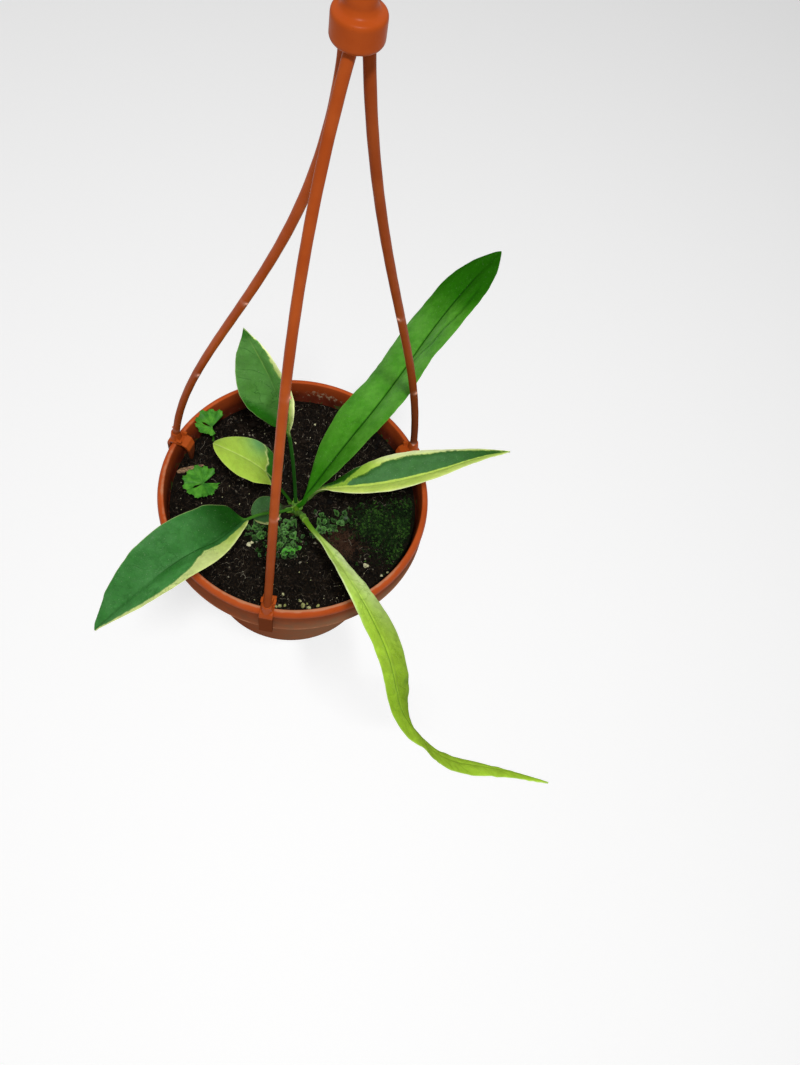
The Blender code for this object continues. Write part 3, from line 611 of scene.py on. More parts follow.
def pot_profile():
    """Radius and height: across the floor, up the inside, over the rim, down the wall and under the base."""
    floor, bottom, foot, neck = FLOOR - POT_HEIGHT, -POT_HEIGHT, BASE_RADIUS - WALL, NECK_RADIUS + WALL
    ledge, corner = LIP_RADIUS - 0.95, 1.4
    return np.vstack((
        (0, floor), (foot - 2.2, floor),
        arc((foot - 1.6, floor + corner), (corner, corner), range(-60, 1, 20)),
        run((foot, floor + 2.2), (NECK_RADIUS, -COLLAR_DEPTH), 12),
        (NECK_RADIUS + 0.5, -17.9), (NECK_RADIUS + 1.3, -16.9), (ledge, -LEDGE_DEPTH),
        run((ledge, -LEDGE_DEPTH), (LIP_RADIUS - 0.1, -1.1), 8, 0.1),
        arc((LIP_RADIUS + LIP_ROUND, -LIP_ROUND), (LIP_ROUND, LIP_ROUND), range(180, 89, -15)),
        arc((RIM_RADIUS - RIM_ROUND[0], -RIM_ROUND[1]), RIM_ROUND, range(90, -1, -6)),
        [(RIM_RADIUS - 0.3, -z) for z in (4.6, 7.2, 10, 14, 17)],
        (RIM_RADIUS - 0.1, -17.6), (RIM_RADIUS + 0.15, -18), (RIM_RADIUS + 0.2, -18.5),
        (RIM_RADIUS, -18.9), (RIM_RADIUS - 0.5, -COLLAR_DEPTH), (RIM_RADIUS - 1.2, -COLLAR_DEPTH),
        (neck + 0.9, -COLLAR_DEPTH), (neck + 0.25, -19.3), (neck, -20),
        run((neck, -20), (BASE_RADIUS, bottom + 1.4), 12, 0.08),
        (BASE_RADIUS - 0.35, bottom + 0.45), (BASE_RADIUS - 1.2, bottom),
        (BASE_RADIUS - 5, bottom), (BASE_RADIUS - 5.8, bottom + 0.6), (0, bottom + 0.6),
    ))


def apart(bearing, centre):
    """The turn in degrees from one bearing to the others, from -180 to 180."""
    return (bearing - centre + 180) % 360 - 180


def make_pot():
    """The pot, turned with soft corners, with its drain holes."""
    profile = pot_profile()
    turn = turns(TURN_STEPS)
    rings = profile[1:-1]
    points = np.stack((
        rings[:, :1] * np.cos(turn), rings[:, :1] * np.sin(turn), np.repeat(rings[:, 1:], TURN_STEPS, 1),
    ), -1).reshape(-1, 3)
    faces = grid_faces(len(rings), TURN_STEPS, closed=True).tolist()
    top, bottom = len(points), len(points) + 1
    points = np.vstack((points, (0, 0, profile[0, 1]), (0, 0, profile[-1, 1])))
    last = (len(rings) - 1) * TURN_STEPS
    for i in range(TURN_STEPS):
        j = (i + 1) % TURN_STEPS
        faces.append((top, j, i))
        faces.append((bottom, last + i, last + j))

    body = link(bpy.data.objects.new("pot_body", as_mesh(solid(points, faces), "pot_body")))
    drill = bmesh.new()
    for index in range(DRAIN_HOLES):
        place = pointing(360 * (index + 0.5) / DRAIN_HOLES, DRAIN_CIRCLE) - (0, 0, POT_HEIGHT)
        bmesh.ops.create_cone(
            drill, cap_ends=True, segments=32, radius1=DRAIN_RADIUS, radius2=DRAIN_RADIUS, depth=12,
            matrix=Matrix.Translation(place),
        )
    holes = link(bpy.data.objects.new("drain_holes", as_mesh(drill, "drain_holes")))
    cut = body.modifiers.new("drain_holes", "BOOLEAN")
    cut.object = holes
    points, faces = applied(body)
    bpy.data.objects.remove(holes)

    x, y, z = points.T
    out = np.hypot(x, y)
    bearing = np.degrees(np.arctan2(y, x))
    inner_edge = bent(z, -100, BASE_RADIUS - WALL, -19, NECK_RADIUS, -16, LIP_RADIUS - 0.9, -1, LIP_RADIUS)
    inside = (out < inner_edge + 0.6) & (z < -0.4) & (z > -POT_HEIGHT + 1.5)
    low = smooth(z, -3.5, -12)
    patches = bell(bearing - 68, 7) + 0.8 * bell(bearing - 88, 8)
    # Where the painted highlight lies: the collar's lower lip, and the rim's inner top edge, stronger at some
    # bearings
    outer_lip = (out > RIM_RADIUS - 0.3) * bell(z + 18.3, 0.4)
    inner_lip = bell(out - LIP_RADIUS - 0.75, 0.95) * smooth(z, -1.0, -0.4)
    highlight_strength = 0.15 + 0.85 * bell(apart(bearing, -74), 48, 4) + 0.5 * bell(apart(bearing, 186), 28)
    made = build("pot_shell", points, faces, pot_shader(), "pot", {
        # Inner wall, stronger lower down: the damp colour and painted shade
        "inside": inside * (0.35 + 0.65 * low),
        "deposit": inside * (0.72 * patches * bell(z + 7.5, 3.0) + 0.16 * low),
        "algae": inside * (0.6 * bell(bearing - 72, 5) * smooth(z, -7, -11) + 0.22 * smooth(z, -9, -14)),
        # Outer wall below the rim's top, where the painted shade goes
        "wall": (~inside) * smooth(z, -1.2, -5.0),
        "edge_highlight": np.maximum(0.9 * outer_lip, inner_lip * highlight_strength),
        "grey_low_front_right": smooth(z, -6, -15) * bell(bearing + 52, 40),
    })
    made.data.set_sharp_from_angle(angle=math.radians(40))


def make_soil():
    shader = Shader("moist_peat")
    shader.base = shader.mix(shader.clouds(260, 5, 0.32, 0.72, rough=0.65), "050403", "18130e")
    shader.coat(shader.times(shader.clouds(1300, 4, 0.54, 0.7), 0.6), "3a2b1c")
    shader.coat(shader.times(shader.field("green"), shader.clouds(700, 4, 0.35, 0.6)), "0b1506")
    shader.coat(shader.times(shader.field("coir"), shader.clouds(900, 4, 0.3, 0.6), 0.8), "2c180f")
    rough = shader.clouds(500, 3, 0.3, 0.7, 0.62, 0.95)
    shader.finish(rough, shader.noise(1600, 4, rough=0.7), 0.5, shine=0.06)

    count = 205
    x, y = disc_points(count, SOIL_EDGE)
    z = crumbled(x, y) + 0.6 * near(x, y, COIR) + 0.5 * near(x, y, MOSS)
    points = np.stack((x, y, z), -1).reshape(-1, 3)
    faces = grid_faces(count, count).tolist()
    edge = list(range(count)) + [i * count + count - 1 for i in range(1, count)]
    edge += [count * count - 1 - i for i in range(1, count)] + [i * count for i in range(count - 2, 0, -1)]
    ring = edge
    turn = np.arctan2(points[edge, 1], points[edge, 0])
    # Under the top: in behind the ledge, then down the wall to the floor
    for reach, level in ((65.3, -17), (63.4, -19.4), (BASE_RADIUS - WALL - 0.4, -94.5), (30, -97)):
        below = list(range(len(points), len(points) + len(edge)))
        circle = np.stack((reach * np.cos(turn), reach * np.sin(turn), 0 * turn + level), 1)
        points = np.vstack((points, circle))
        for i in range(len(edge)):
            j = (i + 1) % len(edge)
            faces.append((ring[i], ring[j], below[j], below[i]))
        ring = below
    faces.append(ring)
    x, y, z = points.T
    build("soil_bed", points, faces, shader, "soil", {
        "green": (z > -17) * np.clip(near(x, y, LIVERWORT + MOSS), 0, 1),
        "coir": (z > -17) * near(x, y, COIR),
    })


def make_crumbs():
    shader = Shader("peat_crumbs")
    tint = shader.field("tint")
    shader.base = shader.mix(shader.step(tint, 0, 0.7), "060504", "1c140d")
    shader.coat(shader.step(tint, 0.72, 0.88), "3a3028")
    shader.coat(shader.step(tint, 0.945, 0.995), "86806f")
    shader.coat(shader.clouds(1500, 3, 0.5, 0.75, 0, 0.5), "0e0a08")
    shader.finish(shader.clouds(700, 2, 0.3, 0.7, 0.5, 0.9), shader.noise(2200, 3), 0.2, 0.7, shine=0.1)

    x, y = scattered(10500)
    sizes = random.lognormal(-1.05, 0.42, (len(x), 1)) * random.uniform(0.4, 1.3, (len(x), 3))
    points, faces, each = strewn(grain(), on_soil(x, y, 0.25 * sizes.min(1)), sizes, 0.3)
    tint = np.repeat(random.uniform(0, 1, len(x)) ** 1.3, each)
    build("soil_crumbs", points, faces, shader, None, {"tint": tint}, flat=True)

    x, y = scattered(430)
    sizes = random.lognormal(-0.05, 0.3, (len(x), 1)) * random.uniform(0.5, 1.2, (len(x), 3))
    points, faces, each = strewn(blob(2), on_soil(x, y, -0.1 * sizes.min(1)), sizes, 0.24)
    tint = np.repeat(random.uniform(0, 0.75, len(x)), each)
    build("soil_clods", points, faces, shader, None, {"tint": tint})


def tubes(lines, radii, sides):
    """Thin tubes along lines of equal length, as one set of points and faces."""
    count, steps, _ = lines.shape
    ahead = unit(np.gradient(lines, axis=1))
    aside = unit(np.cross(ahead, (0.13, 0.21, 0.97)))
    upward = np.cross(aside, ahead)
    turn = turns(sides)[None, None, :, None]
    around = aside[:, :, None] * np.cos(turn) + upward[:, :, None] * np.sin(turn)
    points = lines[:, :, None] + around * radii[..., None, None]
    each = steps * sides
    return points.reshape(-1, 3), repeated(grid_faces(steps, sides, closed=True), count, each), each


def make_fibres():
    """Peat fibres and fine roots that lie on and curl out of the soil."""
    shader = Shader("peat_fibres")
    tint = shader.field("tint")
    shader.base = shader.mix(shader.step(tint, 0, 0.85), "1e1a15", "5c5243")
    shader.coat(shader.step(tint, 0.8, 1), "a8a08e")
    shader.coat(shader.field("russet"), "4c2a1a")
    shader.finish(0.8, shader.noise(3000, 2), 0.05, 0.6, shine=0.1)

    count, steps = 3200, 6
    x, y = scattered(count, 62)
    length = random.lognormal(0.95, 0.45, count)
    in_coir = random.uniform(size=count) < 0.2
    spot = random.normal(size=(count, 2)) * 4.2
    x, y = np.where(in_coir, 28 + spot[:, 0], x), np.where(in_coir, -19.5 + spot[:, 1] * 0.8, y)
    bearing = random.uniform(0, 2 * np.pi, count)
    curl = random.normal(0, 0.9, count)
    share = np.linspace(0, 1, steps)
    turn = bearing[:, None] + curl[:, None] * share[None] * 1.6
    step = length[:, None] / (steps - 1)
    line_x = x[:, None] + np.cumsum(np.cos(turn) * step, 1)
    line_y = y[:, None] + np.cumsum(np.sin(turn) * step, 1)
    pull = np.minimum(1, SOIL_REACH / np.maximum(np.hypot(line_x, line_y), 1))
    line_x, line_y = line_x * pull, line_y * pull
    arch = random.uniform(-0.2, 1.6, count)[:, None] * np.sin(np.pi * share)[None]
    line_z = crumbled(line_x, line_y) + 0.35 + arch
    radii = random.uniform(0.05, 0.1, count)[:, None] * (1.1 - 0.7 * share)[None]
    points, faces, each = tubes(np.stack((line_x, line_y, line_z), -1), radii, 3)
    tints = np.where(in_coir, random.uniform(0.3, 0.75, count), random.uniform(0, 1, count))
    build("soil_fibres", points, faces, shader, None, {
        "tint": np.repeat(tints, each), "russet": np.repeat(in_coir * 0.65, each),
    })


def make_stones():
    """Perlite grains and small stones, each in its place, with tiny ones strewn between."""
    shader = Shader("pale_grains")
    shader.base = shader.mix(shader.field("tint"), "868a44", "e0dcb4")
    shader.coat(shader.clouds(700, 4, 0.45, 0.7, 0, 0.65), "4f5a22")
    shader.finish(0.75, shader.noise(1700, 4), 0.25, 0.8, shine=0.2)

    extra = 70
    tiny_x, tiny_y = scattered(extra, 61)
    tiny = np.stack((tiny_x, tiny_y, random.uniform(0.2, 0.42, extra), random.uniform(0.3, 1, extra)), 1)
    rows = np.vstack((GRAINS, tiny))
    sizes = rows[:, 2:3] * random.uniform(0.75, 1.15, (len(rows), 3))
    centres = on_soil(rows[:, 0], rows[:, 1], 0.1 * rows[:, 2])
    points, faces, each = strewn(blob(3), centres, sizes, 0.02)
    middle, sizes = np.repeat(centres, each, 0), np.repeat(sizes, each, 0)
    away = (points - middle) / sizes
    # Nine flat facets on each
    for _ in range(9):
        side = np.repeat(unit(random.normal(size=(len(rows), 3))), each, 0)
        away -= np.maximum(0, (away * side).sum(1) - 0.62)[:, None] * side
    tint = np.repeat(rows[:, 3], each)
    build("soil_stones", middle + away * sizes, faces, shader, None, {"tint": tint})


def sprouts(x, y, height, leaves, size):
    """Tiny upright shoots with narrow pointed leaves all round."""
    count = len(x)
    bearing = random.uniform(0, 2 * np.pi, (count, leaves))
    lift = random.uniform(0.15, 1.2, (count, leaves))
    up = random.uniform(0.2, 1.0, (count, leaves)) * height[:, None]
    long = (size[:, None] * random.uniform(0.7, 1.25, (count, leaves)))[..., None]
    level = np.cos(lift)
    ahead = np.stack((np.cos(bearing) * level, np.sin(bearing) * level, np.sin(lift)), -1) * long
    aside = np.stack((-np.sin(bearing), np.cos(bearing), 0 * bearing), -1) * long * 0.24
    over = np.cross(ahead, aside) / long
    root = on_soil(x, y, 0.2)[:, None] + np.stack((0 * up, 0 * up, up), -1)
    corners = np.stack((
        root, root + ahead * 0.45 + aside + over * 0.3, root + ahead - over * 0.5,
        root + ahead * 0.45 - aside + over * 0.3, root + ahead * 0.4 - over * 0.6,
    ), 2).reshape(-1, 3)
    each = np.array(((0, 1, 4), (1, 2, 4), (2, 3, 4), (3, 0, 4), (0, 3, 2), (0, 2, 1)))
    return corners, repeated(each, count * leaves, 5), leaves * 5


def make_moss():
    shader = Shader("moss")
    tint = shader.field("tint")
    shader.base = shader.mix(tint, "12260b", "3c6c28")
    shader.coat(shader.step(tint, 0.65, 0.95), "5d9436")
    shader.coat(shader.clouds(1100, 3, 0.45, 0.75, 0, 0.4), "0f1d0b")
    shader.finish(0.6, shader.noise(2500, 2), 0.1, 0.6, shine=0.15)

    x, y = in_patches(2700, MOSS)
    tint = random.uniform(0, 1, len(x)) ** 2.2 + 0.22 * layered(x, y, 6, 50, 2) * near(x, y, MOSS)
    heights, sizes = random.uniform(0.2, 1.3, len(x)), random.uniform(0.5, 1.15, len(x))
    points, faces, each = sprouts(x, y, heights, 7, sizes)
    tints = np.repeat(np.clip(tint, 0, 1), each)
    build("moss_carpet", points, faces, shader, None, {"tint": tints})


def make_liverwort():
    """Low curled lobes with wavy edges, each a small thick sheet."""
    shader = Shader("liverwort")
    tint, rim = shader.field("tint"), shader.field("rim")
    shader.base = shader.mix(tint, "0a1c07", "56923e")
    shader.coat(shader.step(tint, 0.86, 0.98), "4aa828")
    shader.coat(shader.clouds(1400, 3, 0.5, 0.75, 0, 0.5), "0f220c")
    # Painted shade towards each lobe's middle, and a painted highlight on its curled rim
    shader.coat(shader.step(rim, 0.7, 0.25, 0, 0.85), "0a1a06")
    shader.coat(shader.times(shader.step(rim, 0.8, 1.0, 0, 0.3), shader.step(tint, 0.1, 0.7)), "98b67c")
    shader.finish(0.42, shader.noise(1800, 3), 0.15, 0.7, shine=0.2)

    big = np.array(LOBES)
    x, y = in_patches(260, LIVERWORT, 0.52)
    x, y = np.append(x, big[:, 0]), np.append(y, big[:, 1])
    count = len(x)
    size = np.clip(random.lognormal(-0.05, 0.4, count), 0.45, 2.0)
    size[-len(big):] = big[:, 2]
    rise = random.uniform(0, 1, count)
    # Lobes that sit higher are paler: the lower ones get painted shade
    tints = np.clip(1.25 * (rise * random.uniform(0.4, 1, count)) ** 1.35 + 0.04, 0, 0.85)
    tints[-len(big):] = big[:, 3]
    rings, sectors = 5, 16
    turn = turns(sectors)
    share = np.linspace(0.1, 1, rings)[None, :, None]
    bearing = random.uniform(0, 2 * np.pi, count)
    tilt = random.uniform(0, 1.4, count)
    tilt[-len(big):] *= 0.3
    stretch = random.uniform(1.0, 1.6, count)
    waves = random.integers(2, 5, count)[:, None] * turn[None]
    phase = random.uniform(0, 2 * np.pi, count)[:, None]
    notch = 1 - 0.45 * bell(turn[None] - np.pi, 0.45)
    reach = ((1 + 0.14 * np.sin(waves + phase)) * notch)[:, None] * share
    local_x = stretch[:, None, None] * reach * np.cos(turn)
    local_y = reach * np.sin(turn)
    ruffle = np.sin(2 * waves + phase)[:, None]
    cup = share ** 2.5 * (0.45 + 0.32 * ruffle) + local_x * tilt[:, None, None]
    cos, sin = np.cos(bearing)[:, None, None], np.sin(bearing)[:, None, None]
    top = np.stack((local_x * cos - local_y * sin, local_x * sin + local_y * cos, cup), -1)
    top = top * size[:, None, None, None] + on_soil(x, y, 0.1 + 1.6 * rise)[:, None, None]
    under = top.copy()
    under[..., 2] -= 0.24 * (1.1 - share)
    # Top from the middle out, then the underside back in
    sheet = np.concatenate((top, under[:, ::-1]), 1)
    each = 2 * rings * sectors
    faces = [[i + k * each for i in face] for k in range(count) for face in tube_faces(2 * rings, sectors)]
    out = np.repeat(np.concatenate((share.ravel(), share.ravel()[::-1])), sectors)
    build("liverwort", sheet.reshape(-1, 3), faces, shader, None, {
        "tint": np.repeat(tints, each), "rim": np.tile(out, count),
    })


def hanger_shader():
    shader = Shader("hanger_moulded_plastic")
    painted_shade = shader.field("painted_shade")
    shader.base = shader.mix(shader.clouds(70, 3, 0.3, 0.75), "9c4214", "ab4f1e")
    shader.coat(shader.clouds(1200, 2, 0.66, 0.8, 0, 0.3), "7a2c0c")
    # Painted shade: the arms darker towards their lower ends, and the clips below the rim's top
    shader.coat(painted_shade, "66341e")
    shader.coat(shader.times(shader.field("scuff"), 0.7), "e4b09a")
    rough = shader.clouds(300, 3, 0.3, 0.8, 0.28, 0.4)
    return shader.finish(rough, shader.noise(1100, 2), 0.03, 0.4, shine=shader.step(painted_shade, 0, 0.5, 0.05, 0.0))


def cubic(start, first, second, end, shares):
    t = shares[:, None]
    return (1 - t) ** 3 * start + 3 * (1 - t) ** 2 * t * first + 3 * (1 - t) * t ** 2 * second + t ** 3 * end


def arm_curve(name, shares):
    """An arm's centre line from its clip up to the hub."""
    bearing, foot_out, foot_side, head_out, head_side = ARMS[name]
    out, side = pointing(bearing), pointing(bearing + 90)
    rise = np.array((0, 0, HUB_HEIGHT))
    foot = out * ARM_FOOT_RADIUS + np.array((0, 0, 4.0))
    head = np.array((*HUB_AT, HUB_HEIGHT)) + out * HUB_PITCH
    first = foot + out * foot_out + side * foot_side + 0.3 * rise
    second = head + out * head_out + side * head_side - 0.35 * rise
    return cubic(foot, first, second, head, shares)


def nub_spots(name):
    """For each nub of an arm: the rod's middle there, the way it runs, and the side of the nub."""
    for at, side in NUBS[name]:
        middle, beyond = arm_curve(name, np.array((at, at + 0.01)))
        yield middle, unit(beyond - middle), pointing(side)


def swept(line, radii, sides, seam=0.0):
    """Points of a tube along one line, with a faint seam along both its sides."""
    ahead = unit(np.gradient(line, axis=0))
    aside = np.cross(ahead, (0.02, 0.01, 1.0))
    for i in range(len(aside)):
        if np.linalg.norm(aside[i]) < 0.05:
            aside[i] = aside[i - 1] if i else (1, 0, 0)
    aside = unit(aside)
    for i in range(1, len(aside)):
        if aside[i] @ aside[i - 1] < 0:
            aside[i] *= -1
    upward = np.cross(aside, ahead)
    turn = turns(sides)[None, :, None]
    ridge = 1 + seam * bell(np.sin(turn), 0.16)
    circle = aside[:, None] * np.cos(turn) * ridge + upward[:, None] * np.sin(turn) * ridge
    return (line[:, None] + circle * radii[:, None, None]).reshape(-1, 3)


def make_arms(shader):
    shares = np.linspace(0, 1, ARM_STEPS)
    wobble = 1 + 0.012 * np.sin(np.arange(ARM_STEPS) * 0.7)
    for name, (low, high) in ARM_SHADE.items():
        points = swept(arm_curve(name, shares), ROD_RADIUS * wobble, ROD_SIDES, 0.06)
        scuff = np.zeros(len(points))
        for middle, ahead, level in nub_spots(name):
            square = unit(level - ahead * (level @ ahead))
            away = np.linalg.norm(points - middle - square * ROD_RADIUS, axis=1)
            ring = 0.25 * bell((points - middle) @ ahead, 0.45)
            scuff = np.maximum(scuff, np.maximum(bell(away, 1.2), ring))
        # Painted shade along the arm, strongest near the clip
        painted_shade = np.repeat(high + (low - high) * smooth(shares, 0.42, 0.06), ROD_SIDES)
        faces = tube_faces(ARM_STEPS, ROD_SIDES)
        fields = {"scuff": scuff, "painted_shade": painted_shade}
        build(f"hanger_arm_{name}", points, faces, shader, "hanger", fields)

    rows = np.array([
        middle + level * (ROD_RADIUS - 0.1) for name in ARMS for middle, _, level in nub_spots(name)
    ])
    sizes = np.full((len(rows), 3), 0.75) * random.uniform(0.8, 1.2, (len(rows), 3))
    points, faces, _ = strewn(blob(3), rows, sizes, 0.02)
    fields = {"scuff": np.full(len(points), 0.8)}
    build("hanger_nubs", points, faces, shader, "hanger", fields)


def clip_outline():
    """The clip's section across the rim: distance from the axis, and height."""
    outside, inside, foot = RIM_RADIUS + 0.3, LIP_RADIUS - 0.5, -COLLAR_DEPTH - 1.2
    middle = np.array((
        (outside + CLIP_HALF, foot), (outside + CLIP_HALF, -1.5), (outside + 0.2, 0.5),
        (outside - 1.5, 0.3 + CLIP_HALF), (inside, 0.3 + CLIP_HALF), (inside - 2.5, 1.9), (inside - 4.6, 1.0),
        (inside - 5.8, -1.5), (inside - 5.9, -8), (inside - 5.3, -13.7),
    ))
    ahead = np.empty_like(middle)
    ahead[1:-1] = middle[2:] - middle[:-2]
    ahead[0], ahead[-1] = middle[1] - middle[0], middle[-1] - middle[-2]
    ahead = unit(ahead)
    across = np.stack((ahead[:, 1], -ahead[:, 0]), 1) * CLIP_HALF
    left, right = middle - across, middle + across
    barb = [(outside - 1.2, foot), (outside - 1.6, foot + 0.9), (outside, foot + 0.9)]
    return right[::-1].tolist() + barb + [corner for corner in left.tolist() if corner[1] > -COLLAR_DEPTH]


def make_clips(shader):
    """Saddles over the rim, each with the arm's socket and an ear at both sides of it."""
    for name, (bearing, *_) in ARMS.items():
        saddle = bmesh.new()
        section = saddle.faces.new([saddle.verts.new((x, -CLIP_WIDTH / 2, z)) for x, z in clip_outline()])
        moved = bmesh.ops.extrude_face_region(saddle, geom=[section])["geom"]
        far = [item for item in moved if isinstance(item, bmesh.types.BMVert)]
        bmesh.ops.translate(saddle, verts=far, vec=(0, CLIP_WIDTH, 0))
        for vertex in saddle.verts:
            if vertex.co.x < LIP_RADIUS - 2:
                vertex.co.y *= float(bent(vertex.co.z, -13.7, 0.25, -8, 0.6, -1.5, 0.9, 1, 1))
        bmesh.ops.recalc_face_normals(saddle, faces=saddle.faces)
        socket = bmesh.new()
        bmesh.ops.create_cone(
            socket, cap_ends=True, segments=32, radius1=3.2, radius2=2.25, depth=6,
            matrix=Matrix.Translation((ARM_FOOT_RADIUS, 0, 4)),
        )
        pieces = [saddle, socket]
        for side in (-1, 1):
            ear = bmesh.new()
            place = Matrix.Translation((ARM_FOOT_RADIUS - 3.2, side * 2.55, 2.6))
            flare = Matrix.Rotation(math.radians(-side * 18), 4, "X")
            bmesh.ops.create_cube(ear, size=1, matrix=place @ flare @ Matrix.Diagonal((2.8, 1.4, 4.2, 1)))
            pieces.append(ear)
        for piece in pieces:
            bmesh.ops.rotate(piece, verts=piece.verts, matrix=Matrix.Rotation(math.radians(bearing), 3, "Z"))
        fused(f"hanger_clip_{name}", pieces, 0.22, 5, shader, "hanger", {
            # Painted shade on the clip below the rim's top
            "painted_shade": lambda height: 0.95 * smooth(height, -0.5, -4.0),
        })


def make_hub(shader):
    """The hub where the arms meet, and the open hook above it."""
    outline = ((0.1, 10), (3.2, 9.8), (4.2, 9), (4.5, 7), (4.6, 5), (5.4, 3.6), (7.1, 3), (7.5, 2.2),
               (7.5, -4), (7.1, -4.8), (6.2, -5), (0.1, -5))
    hub = bmesh.new()
    ring = [hub.verts.new((HUB_AT[0] + radius, HUB_AT[1], HUB_HEIGHT + rise)) for radius, rise in outline]
    edges = [hub.edges.new(pair) for pair in zip(ring, ring[1:])]
    bmesh.ops.spin(
        hub, geom=ring + edges, cent=(*HUB_AT, 0), axis=(0, 0, 1), angle=2 * math.pi, steps=64,
        use_merge=True,
    )
    bmesh.ops.holes_fill(hub, edges=hub.edges[:])
    bmesh.ops.recalc_face_normals(hub, faces=hub.faces)

    turn = np.radians(np.linspace(-45, 215, 90))
    heights = HUB_HEIGHT + HOOK_RISE + HOOK_RADIUS * np.sin(turn)
    loop = np.stack((HOOK_RADIUS * np.cos(turn), 0 * turn, heights), 1)
    shank = cubic(
        np.array((0, 0, HUB_HEIGHT)), np.array((0, 0, HUB_HEIGHT + 0.5 * HOOK_RISE)),
        loop[0] - (5, 0, 5), loop[0], np.linspace(0, 1, 30)[:-1],
    )
    line = np.vstack((shank, loop)) + (*HUB_AT, 0)
    level = np.array((0, 1.0, 0))
    upward = np.cross(unit(np.gradient(line, axis=0)), level)
    around = turns(ROD_SIDES)[None, :, None]
    # The last six rings round off the tip
    left = np.arange(len(line))[::-1]
    radii = HOOK_ROD * np.sqrt(np.clip(1 - (1 - np.minimum(left, 6) / 6) ** 2, 0.02, 1))
    circle = level * np.cos(around) + upward[:, None] * np.sin(around)
    points = (line[:, None] + circle * radii[:, None, None]).reshape(-1, 3)
    hook = solid(points, tube_faces(len(line), ROD_SIDES))
    fused("hanger_hook", [hub, hook], 0.4, 4, shader, "hanger")


def along(stations, column, places):
    """One angle of the stations, smoothed, at each place along the leaf."""
    distances = np.array([row[0] for row in stations], float)
    grid = np.arange(-2 * SMOOTHING, distances[-1] + 2 * SMOOTHING, 0.5)
    raw = np.interp(grid, distances, [row[column] for row in stations])
    window = np.ones(int(SMOOTHING / 0.5) + 1)
    return np.radians(np.interp(places, grid, np.convolve(raw, window / window.size, mode="same")))


def headings(stations, places):
    bearing, climb = along(stations, 1, places), along(stations, 2, places)
    ahead = np.stack((np.cos(climb) * np.cos(bearing), np.cos(climb) * np.sin(bearing), np.sin(climb)), 1)
    return ahead, bearing


def leaf_course(spec, places):
    """Where the midrib runs, and the leaf's own left and up directions there."""
    reach, bearing = spec["root"]
    start = pointing(bearing, reach) + (*CROWN_AT, STALK_START)
    fine = np.linspace(0, places[-1], 400)
    steps = headings(spec["stations"], (fine[1:] + fine[:-1]) / 2)[0] * np.diff(fine)[:, None]
    path = start + np.vstack((np.zeros(3), np.cumsum(steps, axis=0)))
    points = np.stack([np.interp(places, fine, path[:, axis]) for axis in range(3)], 1)
    ahead, bearing = headings(spec["stations"], places)
    level = np.stack((-np.sin(bearing), np.cos(bearing), 0 * bearing), 1)
    lean = along(spec["stations"], 3, places)[:, None]
    left = np.cos(lean) * level + np.sin(lean) * np.cross(ahead, level)
    return points, left, np.cross(ahead, left)


def half_width(spec, share):
    """Half the blade's width, from 0 at its base to 1 at its tip."""
    widest = spec["widest"]
    near_base = np.sin(np.pi / 2 * np.clip(share / widest, 0, 1)) ** spec["powers"][0]
    near_tip = np.cos(np.pi / 2 * np.clip((share - widest) / (1 - widest), 0, 1)) ** spec["powers"][1]
    return spec["half_width"] * np.where(share < widest, near_base, near_tip)


def vein_phase(place, offset):
    """Where a point lies between side veins that leave the midrib and bend towards the tip."""
    away = np.abs(offset)
    stray = 0.3 * noise(place / 7 + 5 * np.sign(offset), offset / 6, 66)
    return (place - 1.15 * away + 0.018 * away ** 2) / 6.5 + 0.35 * np.sign(offset) + stray


